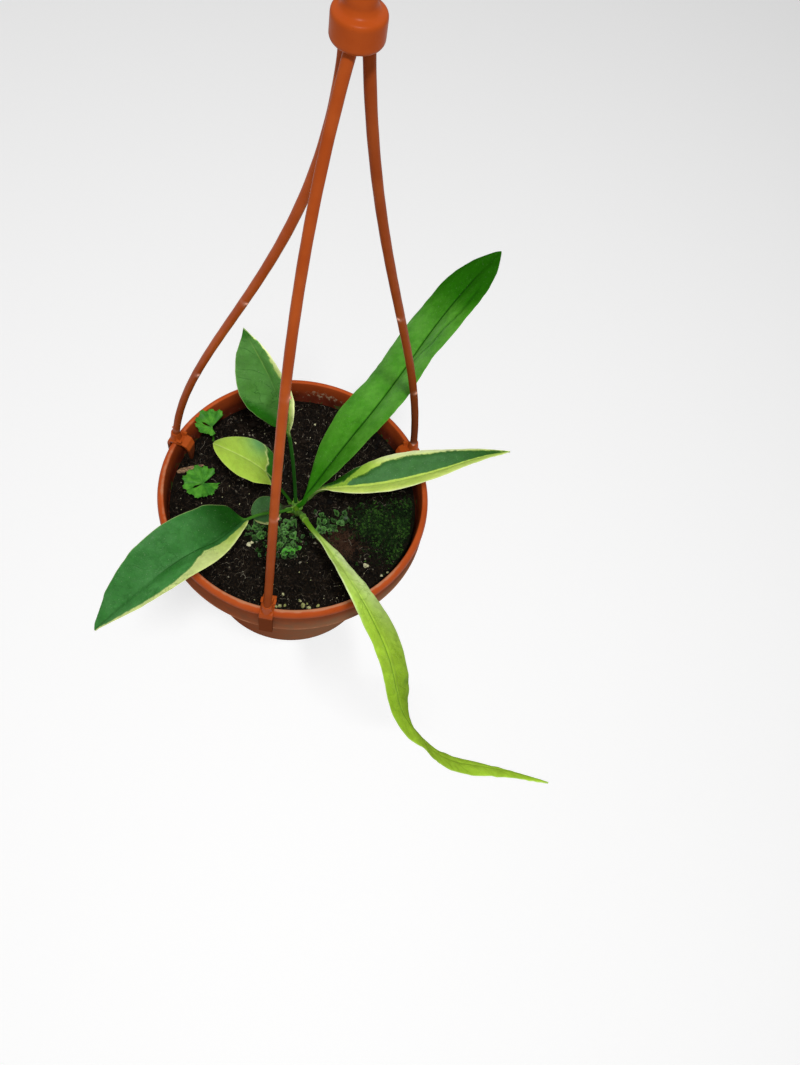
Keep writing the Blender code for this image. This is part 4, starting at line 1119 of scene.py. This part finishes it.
def make_leaf(name, shader, fields):
    """A round stalk that opens into a folded, waved blade, with the fields that its material reads."""
    spec = LEAVES[name]
    stalk, length, radius = spec["stalk"], spec["stations"][-1][0], spec["radius"]
    on_stalk = np.linspace(0, stalk, max(3, round(stalk / 0.9)), endpoint=False)
    even = np.linspace(0, 1, round((length - stalk) / 0.75) + 12)
    blade = stalk + (length - stalk) * (0.75 * even + 0.25 * (0.5 - 0.5 * np.cos(np.pi * even)))
    places = np.concatenate((on_stalk, blade))
    middle, left, up = leaf_course(spec, places)
    inward = np.array((*CROWN_AT, 0)) - middle[0] * (1, 1, 0)
    middle = middle + inward * (spec.get("pull", PULL) * smooth(places, 12, 0) ** 1.5)[:, None]

    # Outline: half the width along the leaf, then each column's distance from the midrib
    share = np.clip((places - stalk) / (length - stalk), 0, 1)[:, None]
    flat_from, flat_at, wing = spec.get("wing", (stalk, stalk + min(BLEND_LENGTH, (length - stalk) / 3), 0))
    blend = smooth(places, flat_from, flat_at)[:, None]
    half = np.maximum(half_width(spec, share), radius * (1 - share) + 0.15 * share)
    winged = radius + (wing - radius) * np.clip((places - flat_from) / (flat_at - flat_from), 0, 1)
    half = np.maximum(half, np.where(places < flat_at, winged, 0)[:, None])
    columns = spec["columns"]
    line = np.linspace(-1, 1, columns)
    across = (np.sign(line) * np.abs(line) ** 1.25)[None]
    trim_at, trim_left, trim_right = spec.get("trim", ((0, 1), (1, 1), (1, 1)))
    trim = np.where(across > 0, np.interp(share, trim_at, trim_left), np.interp(share, trim_at, trim_right))
    offset = half * across * trim

    # Height: ripples and crimps of the edge, arched halves, creases, quilting between veins, and the midrib
    fold = np.radians(spec["fold"][0] + (spec["fold"][1] - spec["fold"][0]) * share)
    height, waves = spec["wave"]
    swing = np.sin(2 * np.pi * waves * share + np.where(offset > 0, 1, 2.4))
    ripple = height * swing * np.sin(np.pi * share) * across ** 2
    crimp = noise(places[:, None] / 5 + 3 * np.sign(offset), offset / 6 + 0 * share, 60) * across ** 2
    crimp = crimp + 0.5 * noise(places[:, None] / 2.6, offset / 3, 61) * np.abs(across)
    crimp = spec.get("crimp", 0.22) * crimp
    arch = 0.05 * half * (1 - (2 * np.abs(across) - 1) ** 2)
    for at, beside, long, wide, high in spec.get("bumps", ()):
        away = ((share - at) * (length - stalk) / long) ** 2 + ((across - beside) / wide) ** 2
        arch = arch + high * np.exp(-away)
    crease_at, crease_line = spec.get("crease", ((0, 1), (9, 9)))
    crease = bell((across - np.interp(share, crease_at, crease_line)) * half, 0.75)
    crease = crease * smooth(share, crease_at[0], crease_at[1]) * smooth(share, crease_at[-1], crease_at[-2])
    phase = vein_phase(places[:, None], offset)
    quilt = spec.get("quilt", 0.03) * np.cos(2 * np.pi * phase)
    quilt = quilt * smooth(np.abs(across), 0.03, 0.25) * smooth(np.abs(across), 1, 0.8)
    aside, at_share, span = spec.get("rib_shift", (0, 0, 1))
    ribline = offset - aside * half * bell(share - at_share, span)
    fades, ends = spec.get("groove", (0.85, 0.97))
    groove = bell(ribline, 0.7) * smooth(share, ends, fades)
    thick = (0.26 / np.cos(fold)) * np.sqrt(np.clip(1 - across ** 8, 0.0, 1))
    soft = np.minimum(spec.get("soft", 1.6), 0.25 * half)
    raised = np.sqrt(offset ** 2 + soft ** 2) - 0.6 * soft
    sheet_x, sheet_z = offset * np.cos(fold), raised * np.sin(fold) + ripple + crimp + arch - 0.5 * crease
    keel = 0.8 * radius * (1 - share) * bell(offset, 0.55 * radius + 0.35)

    sides = []
    for side in (1, -1):
        turn = side * np.radians(167 - 154 * (line + 1) / 2)[None]
        flat_z = sheet_z + side * thick + quilt
        flat_z = flat_z - 0.42 * groove * (1 - share) if side > 0 else flat_z - keel
        x = sheet_x * blend + radius * np.cos(turn) * (1 - blend)
        z = flat_z * blend + radius * np.sin(turn) * (1 - blend)
        sides.append(middle[:, None] + left[:, None] * x[..., None] + up[:, None] * z[..., None])
    ring = np.concatenate((sides[0], sides[1][:, ::-1]), 1)
    faces = [face[::-1] for face in tube_faces(len(places), 2 * columns)]

    values = {
        "ribline": ribline, "blade": blend, "edge": half * (1 - np.abs(across)), "phase": phase,
        "crease": crease, "tone": 1, "rib": 1, "rich": 0, "matte": 0,
    }
    for key, maker in fields.items():
        values[key] = maker(share + 0 * offset, across + 0 * offset, offset, half)
    data = {"under": np.concatenate((0 * offset, 1 + 0 * offset), 1).ravel()}
    for key, value in values.items():
        value = value + 0 * offset
        data[key] = np.concatenate((value, value[:, ::-1]), 1).ravel()
    build(name, ring.reshape(-1, 3), faces, shader, name, data)


def leaf_shader(name, deep, light, stalk, vein, rib, dark=None, pale=None, pale_deep=None, cream=None,
                veins=0.1, rib_strength=0.6, rib_width=0.6, ragged=0.8, edging=0.3, wrinkles=0.2,
                tinge=False):
    """A waxy leaf: mottled green, a fine net of veins, side veins, midrib, and pale areas if it has any."""
    shader = Shader(name)
    blade, edge, matte = shader.field("blade"), shader.field("edge"), shader.field("matte")
    around = shader.math("ABSOLUTE", shader.field("ribline"))
    shader.base = shader.mix(shader.clouds(90, 4, 0.3, 0.7, rough=0.6), deep, light)
    # The dark field: painted shade on some leaves, a darker green on others
    if dark and not tinge:
        shader.coat(shader.field("dark"), dark)
    between_veins = shader.off_middle(shader.math("FRACT", shader.field("phase")))
    side_vein = shader.times(
        shader.step(between_veins, 0.06, 0.0), shader.step(around, 0.4, 2.5), shader.step(edge, 0.3, 2.0),
        blade, shader.clouds(130, 2, 0.38, 0.62),
    )
    swirl = shader.off_middle(shader.noise(150, 3, rough=0.55))
    wrinkle = shader.times(shader.step(swirl, 0.022, 0.004), shader.clouds(75, 2, 0.45, 0.6), blade)
    net = shader.step(shader.net(700), 0.0, 0.1, 1.0, 0.0)
    shader.coat(shader.times(net, 0.1), vein)
    shader.coat(shader.times(side_vein, veins), vein)
    if pale:
        fine = shader.clouds(420, 5, 0.25, 0.75, -1, 1, rough=0.65)
        zone = shader.plus(shader.field("pale"), shader.times(fine, ragged))
        depth = shader.math("MAXIMUM", shader.clouds(150, 3, 0.3, 0.7, 0, 0.4), shader.field("rich"))
        area = shader.mix(depth, pale, pale_deep)
        area = shader.mix(shader.times(side_vein, veins), area, vein if tinge else pale_deep)
        if tinge:
            area = shader.mix(shader.field("dark"), area, dark)
        area = shader.mix(shader.field("creamy"), area, cream)
        shader.coat(shader.step(zone, -0.75, -0.55, 0, 0.55), shader.mix(0.45, shader.base, area))
        shader.coat(shader.step(zone, -0.12, 0.12), area)
    midrib = shader.times(shader.step(around, rib_width, 0.2 * rib_width), shader.field("rib"), rib_strength)
    shader.coat(midrib, rib)
    shader.coat(shader.times(wrinkle, wrinkles), vein)
    # Painted shade in the crease
    shader.coat(shader.times(shader.field("crease"), 0.8), rib)
    shader.coat(shader.times(shader.step(edge, 0.45, 0.1), edging, blade), cream or "8fae58")
    shader.coat(shader.clouds(1900, 1, 0.7, 0.77, 0, 0.3), "b4c4a0")
    # Brightness from the tone field with a random mottle; on several leaves the field also holds painted
    # light and shade
    tone = shader.times(shader.field("tone"), shader.clouds(300, 5, 0.3, 0.7, 0.9, 1.1, rough=0.6))
    toned = shader.add("ShaderNodeHueSaturation", {"Color": shader.base, "Value": tone})
    shader.base = toned.outputs["Color"]
    shader.coat(shader.step(blade, 0.8, 0.1), stalk)
    shader.coat(shader.times(shader.field("under"), 0.35), light)
    shader.translucent(0.08, 0.0012)
    relief = shader.plus(shader.times(shader.plus(side_vein, wrinkle), -0.6), shader.times(net, -0.3))
    grain = shader.plus(shader.noise(1500, 2), shader.times(shader.noise(330, 3), 2.2))
    relief = shader.plus(relief, shader.times(grain, 0.5))
    rough = shader.clouds(420, 3, 0.3, 0.7, 0.38, 0.52)
    return shader.finish(rough, relief, 0.09, shine=shader.step(matte, 0, 1, 0.1, 0.0))


# Fields: share along the blade, place across it from -1 to 1, then offset and half the width in mm
def make_tall_leaf():
    shader = leaf_shader(
        "leaf_plain_green", "42891c", "589c30", "2c7a10", "2c6a14", "174a0a", dark="246a09",
        rib_strength=0.95, rib_width=1.1, edging=0.2, wrinkles=0.15,
    )
    make_leaf("leaf_tall", shader, {
        # Painted shade darkens the base of the blade; the upper blade turns a darker green
        "dark": lambda share, t, *_: np.maximum(
            0.95 * smooth(share + 0.035 * noise(share * 14, 3 * t, 84), np.where(t > 0, 0.66, 0.74), 0.84),
            0.6 * smooth(share, 0.25, 0.02),
        ),
        "matte": lambda share, t, offset, half: np.maximum(
            np.maximum(smooth(share, 0.6, 0.78), smooth(share, 0.45, 0.15)), bell(offset, 1.8),
        ),
        # Tone: painted shade at the base, a painted sheen across the middle of the blade, and darker towards
        # the tip
        "tone": lambda share, t, *_: (
            0.9 - 0.3 * smooth(share, 0.7, 1.0) + 0.08 * bell(share - 0.5, 0.15)
            - 0.14 * smooth(share, 0.4, 0.15) + 0.1 * bell(np.abs(t) - 0.5, 0.2)
        ),
        "rib": lambda share, *_: smooth(share, 0.94, 0.86),
    })


def right_zone(share, t, offset, half):
    low = bent(share, 0, 0.1, 0.12, 0.06, 0.14, 0.3, 0.16, 0.42, 0.2, 0.46, 0.246, 0.55, 0.3, 0.66,
               0.35, 0.76, 0.4, 0.79, 0.5, 0.81, 0.6, 0.78, 0.7, 0.86, 0.8, 0.76, 0.9, 0.7, 1, 0.8)
    high = bent(share, 0, 0.2, 0.08, 0.33, 0.1, 0.37, 0.12, 0.44, 0.14, 0.52, 0.16, 0.67, 0.2, 0.9, 0.23, 1.3)
    jag = 0.3 * noise(share * 60, 0 * share, 70) + 0.2 * noise(share * 130, 0 * share, 71)
    strip = (0.05 * half - offset) * 2
    return np.where(strip > 0, strip, np.maximum(strip, np.minimum(t - low, high - t) * half + jag))


def make_right_leaf():
    shader = leaf_shader(
        "leaf_blue_green_cream", "3c6c35", "467343", "6f9a3a", "2b5a2c", "6f9438", dark="1f4f08",
        pale="c6dc66", pale_deep="88ac38", cream="cfd8a0", ragged=0.45, rib_strength=0.6, rib_width=0.5,
        edging=0.35,
    )
    make_leaf("leaf_right", shader, {
        "pale": right_zone,
        "dark": lambda share, t, offset, half: np.maximum(
            smooth(share, 0.3, 0.22) * smooth(t, 0.3, 0.45),
            np.maximum(0.75 * smooth(share, 0.6, 0.9),
                       0.55 * smooth(right_zone(share, t, offset, half), -3.5, -0.8) * smooth(t, 0.3, 0.5)),
        ),
        # Tone: painted light brightens the half that lies in shade
        "tone": lambda share, t, *_: 1 + 0.16 * smooth(t, 0.06, -0.1),
        "rich": lambda share, t, *_: np.where(t > 0.1, smooth(share, 0.4, 0.2), 0.35 * smooth(t, -0.5, 0)),
        "creamy": lambda share, t, *_: np.where(
            t > 0, smooth(share, 0.24, 0.42) * smooth(t, 0.65, 0.95), smooth(t, -0.9, -0.98) * 0.85,
        ),
    })


def left_zone(share, t, offset, half):
    low = bent(share, 0, 1.05, 0.06, 1.0, 0.08, 0.8, 0.103, 0.7, 0.151, 0.66, 0.202, 0.63, 0.247, 0.57,
               0.302, 0.45, 0.35, 0.31, 0.4, 0.44, 0.45, 0.66, 0.5, 0.74, 0.55, 0.82, 0.6, 0.84, 0.7, 0.85,
               0.8, 0.86, 0.9, 0.9, 0.96, 0.9, 1, 1)
    jag = 0.35 * noise(share * 26, 0 * share, 74) + 0.25 * noise(share * 70, 0 * share, 75)
    return (t - low) * half + jag


def make_left_leaf():
    shader = leaf_shader(
        "leaf_dark_green_cream", "2f6b2c", "3f7a3c", "3f7520", "1f5518", "164a10", dark="0f4206",
        pale="b8d060", pale_deep="a6c048", cream="d6e294", veins=0.28, ragged=0.3, rib_strength=0.8,
        rib_width=0.7, edging=0.25, wrinkles=0.35,
    )
    make_leaf("leaf_left", shader, {
        "pale": left_zone,
        # Painted shade darkens the base of the blade, except along its pale side
        "dark": lambda share, t, *_: smooth(share, 0.38, 0.12) * smooth(t, 0.6, -0.1),
        # Tone: painted light lifts the half that folds down away from the light, beyond about a third of the
        # way along; the pale zone is a little darker
        "tone": lambda share, t, offset, half: (
            1 + 0.3 * smooth(t, 0.05, 0.25) * smooth(share, 0.35, 0.5)
            * smooth(left_zone(share, t, offset, half), 0.3, -0.8)
            - 0.13 * smooth(left_zone(share, t, offset, half), -0.2, 0.3)
        ),
        "creamy": lambda share, t, *_: 0.8 * np.maximum(smooth(t, 0.85, 1.0), smooth(share, 0.2, 0.4)),
        "rib": lambda share, *_: 0.15 + 0.85 * smooth(share, 0.62, 0.48),
    })


def back_zone(share, t, offset, half):
    low = bent(share, 0, 0.1, 0.1, 0.4, 0.2, 0.6, 0.3, 0.62, 0.4, 0.8, 0.5, 0.86, 0.6, 0.8, 0.7, 0.7,
               0.8, 0.86, 0.9, 0.97, 1, 1)
    return (-t - low) * half + 0.5 * noise(share * 40, 0 * share, 78)


def make_back_leaf():
    shader = leaf_shader(
        "leaf_mid_green_cream", "4c8434", "5c9446", "1c4a12", "2a5f1c", "86b050", dark="1f6a0a",
        pale="b9d06c", pale_deep="a2c058", cream="d6e09c", veins=0.75, rib_strength=0.6, rib_width=0.5,
        ragged=0.9, edging=0.25, wrinkles=0.65,
    )
    make_leaf("leaf_back", shader, {
        "pale": back_zone,
        "dark": lambda share, t, *_: np.maximum(
            0.95 * smooth(share, 0.5, 0.42) * smooth(
                t, bent(share, 0, 0.05, 0.3, 0.25, 0.42, 0.75, 0.5, 1), bent(share, 0, 0.2, 0.5, 1.2),
            ),
            0.8 * smooth(share, 0.9, 0.95),
        ),
        # Tone: painted light brightens the half that lies in shade, beyond a fifth of the way along
        "tone": lambda share, t, *_: 0.88 + 0.42 * smooth(t, 0.05, -0.15) * smooth(share, 0.2, 0.35),
        "creamy": lambda share, t, *_: 0.9 * smooth(-t, 0.72, 0.97),
        "rich": lambda share, *_: smooth(share, 0.14, 0.0),
        "rib": lambda share, *_: 0.25 + 0.75 * smooth(share, 0.5, 0.7) * smooth(share, 0.9, 0.75),
    })


def young_zone(share, t, offset, half):
    border = 0.285 - 0.07 * t + 0.03 * np.maximum(0, -t) ** 2
    jag = 0.8 * noise(offset / 1.3, 0 * share, 80) + 0.45 * noise(offset / 0.6, 0 * share, 81)
    return (share - border) * 43.5 + jag


def make_young_leaf():
    shader = leaf_shader(
        "leaf_young_yellow_green", "24600f", "2f6c1c", "24550f", "24552f", "c3d974", dark="5a9258",
        pale="a6c446", pale_deep="8fb23a", cream="dbe294", rib_strength=0.6, ragged=0.35, veins=0.12,
        edging=0.2, wrinkles=0.08, tinge=True,
    )
    make_leaf("leaf_young", shader, {
        "pale": young_zone,
        "dark": lambda share, t, *_: 0.95 * bell(share - 0.47, 0.17) * bell(t + 0.95, 0.65),
        "tone": lambda share, *_: 1 - 0.22 * smooth(share, 0.8, 1.0),
        "creamy": lambda *place: 0.8 * smooth(young_zone(*place), 1.0, 0.1),
    })


def make_trailing_leaf():
    shader = leaf_shader(
        "leaf_trailing_pale", "8fb42c", "9cc03c", "5c8c1c", "6f951c", "567f16", dark="6c9416",
        pale="b0ce62", pale_deep="96ba34", cream="ccdca0", rib_strength=0.75, rib_width=0.55, ragged=0.4,
        veins=0.45, edging=0.3, wrinkles=0.4, tinge=True,
    )
    make_leaf("leaf_trailing", shader, {
        "pale": lambda share, *_: 4 + 0 * share,
        "rich": lambda share, *_: smooth(share, 0.08, 0.3),
        # Painted shade along the cross crease, inside a wider darker band
        "dark": lambda share, t, *_: np.maximum(
            0.5 * bell(share - 0.43, 0.08), 0.9 * bell(share - 0.403, 0.012) * smooth(t, 0.1, 0.5),
        ),
        "matte": lambda share, *_: 0.5 + 0.5 * smooth(share, 0.35, 0.5),
        "creamy": lambda share, t, *_: np.maximum(
            0.75 * smooth(share, 0.0, 0.1) * smooth(share, 0.36, 0.08) * smooth(t, -0.3, 0.7),
            np.maximum(0.35 * smooth(share, 0.4, 0.2) * smooth(t, 0.6, 0.95),
                       0.8 * smooth(t, -0.85, -0.97) * smooth(share, 0.28, 0.18)),
        ),
        # Tone: painted light lifts the half that tilts away from the light; brighter towards the tip, with a
        # random mottle
        "tone": lambda share, t, offset, half: (
            0.86 + 0.22 * smooth(t, 0.1, -0.2) * smooth(share, 0.1, 0.2) * smooth(share, 0.62, 0.5)
            + 0.34 * smooth(share, 0.55, 0.8) - 0.04 * smooth(share, 0.2, 0.3)
            + 0.1 * noise(share * 34, offset / 4, 85) + 0.08 * noise(share * 85, offset / 1.8, 86)
        ),
        "rib": lambda share, *_: smooth(share, 0.15, 0.24) * (1 - 0.4 * smooth(share, 0.5, 0.6)),
    })


def make_small_leaf():
    shader = leaf_shader(
        "leaf_small_bronze", "2a5220", "3c6436", "23280f", "223a18", "3f5a2a",
        pale="7c8c50", pale_deep="6c7e40", cream="9ca068",
    )
    make_leaf("leaf_small", shader, {
        "pale": lambda share, t, offset, half: (t - 0.82) * half,
        "creamy": lambda share, t, *_: smooth(t, 0.8, 1.0),
    })


def make_crown():
    """The rootstock, with a swollen sheath at each leaf's foot and knobs between."""
    shader = Shader("crown_rootstock")
    shader.base = shader.mix(shader.clouds(320, 4, 0.35, 0.68), "3a6a12", "6a9a26")
    shader.coat(shader.clouds(700, 4, 0.6, 0.72), "5f4a24")
    shader.coat(shader.step(shader.field("low"), 0.3, 1.0), "4a3622")
    shader.finish(0.6, shader.noise(900, 4), 0.3, 0.7)

    core = bmesh.new()
    bmesh.ops.create_uvsphere(
        core, u_segments=32, v_segments=20, radius=1,
        matrix=Matrix.Translation((*CROWN_AT, -9.5)) @ Matrix.Diagonal((2.9, 2.9, 4.4, 1)),
    )
    root = bmesh.new()
    bmesh.ops.create_cone(
        root, cap_ends=True, segments=24, radius1=2.8, radius2=3.2, depth=12,
        matrix=Matrix.Translation((*CROWN_AT, -15)),
    )
    pieces = [core, root]
    for spec in LEAVES.values():
        points, _, _ = leaf_course(spec, np.array((0.0, 6.0)))
        loose = 1 - spec.get("pull", PULL)
        aside = Vector(points[0]) - Vector((*CROWN_AT, STALK_START))
        start = Vector((*CROWN_AT, -7.4)) + aside * loose * 0.8
        ahead = (Vector(points[1]) - start).normalized()
        turn = ahead.to_track_quat("Z", "Y").to_matrix().to_4x4()
        sheath = bmesh.new()
        bmesh.ops.create_cone(
            sheath, cap_ends=True, segments=20, radius1=spec["radius"] + 0.75, radius2=spec["radius"] + 0.2,
            depth=5, matrix=Matrix.Translation(start + ahead * 1.8) @ turn,
        )
        pieces.append(sheath)
    # The lowest stalk is thicker, with two rings, and knobs sit round the crown
    points, _, _ = leaf_course(LEAVES["leaf_trailing"], np.linspace(4, 33, 30))
    balls = [(2, 1.55 + (0.45 if i in (22, 28) else 0) - 0.008 * i, point) for i, point in enumerate(points)]
    knobs = ((-60, -5.6, 0.8), (70, -6, 0.7), (190, -6.6, 0.9), (-20, -7, 0.7), (130, -7.2, 0.8))
    for bearing, rise, size in knobs:
        balls.append((3, size, pointing(bearing, 2.6) + (*CROWN_AT, rise)))
    for level, size, place in balls:
        ball = bmesh.new()
        bmesh.ops.create_icosphere(ball, subdivisions=level, radius=size, matrix=Matrix.Translation(place))
        pieces.append(ball)
    fused("crown_stock", pieces, 0.27, 3, shader, "crown", {
        "low": lambda height: smooth(height, -6.5, -11.0),
    })


def make_seedling(name, spec):
    """A thin scalloped blade with fanned veins on a thin stem, notched and slit."""
    shader = Shader(name + "_skin")
    share = shader.field("share")
    fan = shader.off_middle(shader.math("FRACT", shader.field("fan")))
    vein = shader.times(shader.step(fan, 0.12, 0.0), shader.step(share, 0.1, 0.3))
    shader.base = shader.mix(shader.clouds(260, 3, 0.3, 0.7), "2a6e12", "4f9426")
    shader.coat(shader.times(vein, 0.3), "1c4a10")
    shader.coat(shader.step(share, 0.35, 0.0, 0, 0.6), "184a10")
    shader.translucent(0.12, 0.001)
    relief = shader.plus(shader.times(vein, -1.0), shader.step(shader.net(900), 0, 0.1, -0.4, 0.0))
    shader.finish(0.48, relief, 0.1, 0.9, shine=0.2)

    x, y = spec["at"]
    rings, sectors, scallops = 18, 220, spec["scallops"]
    start, end = spec["notch"]
    bearings = np.linspace(end, start + 360, sectors)
    turn = np.radians(bearings)[None]
    share = np.linspace(0.03, 1, rings)[:, None]
    reach = spec["reach"][0] + spec["reach"][1] * np.cos(turn - math.radians(spec["long_way"]))
    folds = np.sin(scallops * turn / 2)
    swell = 1 + 0.07 * (np.abs(folds) - 0.5) * 2 * share ** 3
    swell = swell + 0.03 * np.cos(3 * scallops * turn) * share ** 6
    out_x, out_y = reach * share * swell * np.cos(turn), reach * share * swell * np.sin(turn)
    crease = 0.7 * np.abs(folds) - 0.4 + 0.35 * noise(out_x / 1.1, out_y / 1.1, 95) * share
    rise = 1.5 * share ** 2 + 0.7 * share ** 2 * folds + crease * share
    lift = 0.25 * np.sqrt(np.clip(1 - share ** 6, 0, 1)) + 0.03
    points = np.concatenate([
        np.stack((x + out_x, y + out_y, spec["height"] + rise + side * lift), -1) for side in (1, -1)
    ]).reshape(-1, 3)
    below = rings * sectors
    beside = np.abs((bearings[:-1] + bearings[1:]) / 2 - spec["slit"])
    open_to = bent(beside, 0, 0.62, spec["slit_width"], 0.45, spec["slit_width"] + 1, 0)
    cells = grid_faces(rings, sectors)[(share[:-1] > open_to[None]).ravel()]
    faces = cells.tolist() + (cells[:, ::-1] + below).tolist()
    # A wall between the two faces wherever an edge has a cell on one side only
    outer = {}
    for cell in cells.tolist():
        for edge in zip(cell, cell[1:] + cell[:1]):
            outer[edge] = edge[::-1] not in outer
            if not outer[edge]:
                outer[edge[::-1]] = False
    faces += [(b, a, below + a, below + b) for (a, b), alone in outer.items() if alone]
    fans = np.broadcast_to(scallops * turn / (2 * np.pi) + 0.5, (rings, sectors))
    shares = np.broadcast_to(share, (rings, sectors))

    foot = float(soil_height(x, y)) - 4
    tall = np.linspace(0, 1, 24)
    upright = foot + (spec["height"] + 0.3 - foot) * tall
    line = np.stack((x + 0.35 * np.sin(tall * 3), y + 0 * tall, upright), 1)
    line[:, 0] -= 0.35 * math.sin(3)
    stem = swept(line, 0.62 - 0.12 * tall, 16)
    faces += [[i + len(points) for i in face] for face in tube_faces(len(tall), 16)]
    zeros = np.zeros(len(stem))
    build(name + "_plant", np.vstack((points, stem)), faces, shader, name, {
        "fan": np.concatenate((np.tile(fans.ravel(), 2), zeros)),
        "share": np.concatenate((np.tile(shares.ravel(), 2), zeros + 0.5)),
    })


def make_bark():
    shader = Shader("dry_bark")
    stretched = shader.add("ShaderNodeMapping", {"Vector": shader.place(), "Scale": (1, 4, 4)})
    turned = shader.add("ShaderNodeVectorRotate", {
        "Vector": stretched.outputs["Vector"], "Angle": BARK_TURN,
    }, rotation_type="Z_AXIS")
    grain = shader.noise(500, 4, turned.outputs["Vector"])
    shader.base = shader.mix(shader.step(grain, 0.35, 0.65), "4e3626", "a0805c")
    shader.finish(0.85, grain, 0.3, 0.9)

    rows, columns = 60, 18
    share = np.linspace(0, 1, rows)[:, None]
    turn = turns(columns)[None]
    ends = np.clip(np.sqrt(np.sin(np.pi * np.clip(share * 0.94 + 0.03, 0, 1))) * 1.25, 0.25, 1)
    wide = 1.75 * (1 - 0.45 * share) * ends
    rough = 1 + 0.14 * noise(share * 16, np.cos(turn) * 3, 90)
    rough = rough + 0.08 * noise(share * 44, np.cos(turn) * 7, 91)
    x = (share - 0.5) * 14.5 + 0 * turn
    y = wide * np.cos(turn) * rough
    z = 0.55 * np.sin(turn) * (0.7 + 0.3 * np.abs(np.sin(turn))) * np.minimum(1, wide)
    z = z + 0.25 * np.sin(share * 4)
    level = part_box("bark_chip")
    height = (level[0].z + level[1].z) / 2 / MM - RIM_CENTRE[2]
    cos, sin = math.cos(BARK_TURN), math.sin(BARK_TURN)
    points = np.stack((BARK_AT[0] + x * cos - y * sin, BARK_AT[1] + x * sin + y * cos, height + z), -1)
    build("bark_sliver", points.reshape(-1, 3), tube_faces(rows, columns), shader, "bark_chip")


def make_camera():
    azimuth, elevation, roll = (math.radians(v) for v in (VIEW_AZIMUTH, VIEW_ELEVATION, VIEW_ROLL))
    ahead = Vector((
        -math.sin(azimuth) * math.cos(elevation),
        math.cos(azimuth) * math.cos(elevation),
        -math.sin(elevation),
    ))
    right = ahead.cross(Vector((0, 0, 1))).normalized()
    up = right.cross(ahead)
    side = math.cos(roll) * right + math.sin(roll) * up
    top = -math.sin(roll) * right + math.cos(roll) * up
    data = bpy.data.cameras.new("camera")
    data.lens = VIEW_LENS
    data.sensor_width = 36
    data.clip_start = 0.01
    data.clip_end = 20
    camera = link(bpy.data.objects.new("camera", data))
    matrix = Matrix((side, top, -ahead)).transposed().to_4x4()
    matrix.translation = (Vector(VIEW_TARGET) - ahead * VIEW_DISTANCE + Vector(RIM_CENTRE)) * MM
    camera.matrix_world = matrix
    bpy.context.scene.camera = camera


def make_studio():
    """A pale floor well below the pot, an even sky and three soft lights."""
    shader = Shader("pale_floor")
    shader.set(Base_Color=(0.9, 0.9, 0.9, 1), Roughness=0.9)
    shader.set(Emission_Color=(1, 1, 1, 1), Emission_Strength=0.22)
    mesh = bpy.data.meshes.new("floor")
    low = (RIM_CENTRE[2] - POT_HEIGHT) * MM - 0.45
    mesh.from_pydata([(-6, -6, low), (6, -6, low), (6, 6, low), (-6, 6, low)], [], [(0, 1, 2, 3)])
    mesh.materials.append(shader.material)
    floor = link(bpy.data.objects.new("floor", mesh))

    world = bpy.data.worlds.new("studio")
    world.use_nodes = True
    world.node_tree.nodes["Background"].inputs["Color"].default_value = (1, 1, 1, 1)
    world.node_tree.nodes["Background"].inputs["Strength"].default_value = 0.34
    bpy.context.scene.world = world
    bpy.context.scene.view_settings.view_transform = "Standard"

    target = Vector(RIM_CENTRE) * MM
    for name, (place, size, power) in LIGHTS.items():
        data = bpy.data.lights.new(name, "AREA")
        data.size = size
        data.energy = power
        light = link(bpy.data.objects.new(name, data))
        light.location = target + Vector(place)
        light.rotation_euler = (-Vector(place)).to_track_quat("-Z", "Y").to_euler()


make_pot()
make_soil()
make_crumbs()
make_fibres()
make_stones()
make_moss()
make_liverwort()
plastic = hanger_shader()
make_arms(plastic)
make_clips(plastic)
make_hub(plastic)
make_tall_leaf()
make_right_leaf()
make_left_leaf()
make_back_leaf()
make_young_leaf()
make_trailing_leaf()
make_small_leaf()
make_crown()
for seedling_name, seedling_spec in SEEDLINGS.items():
    make_seedling(seedling_name, seedling_spec)
make_bark()
make_camera()
make_studio()
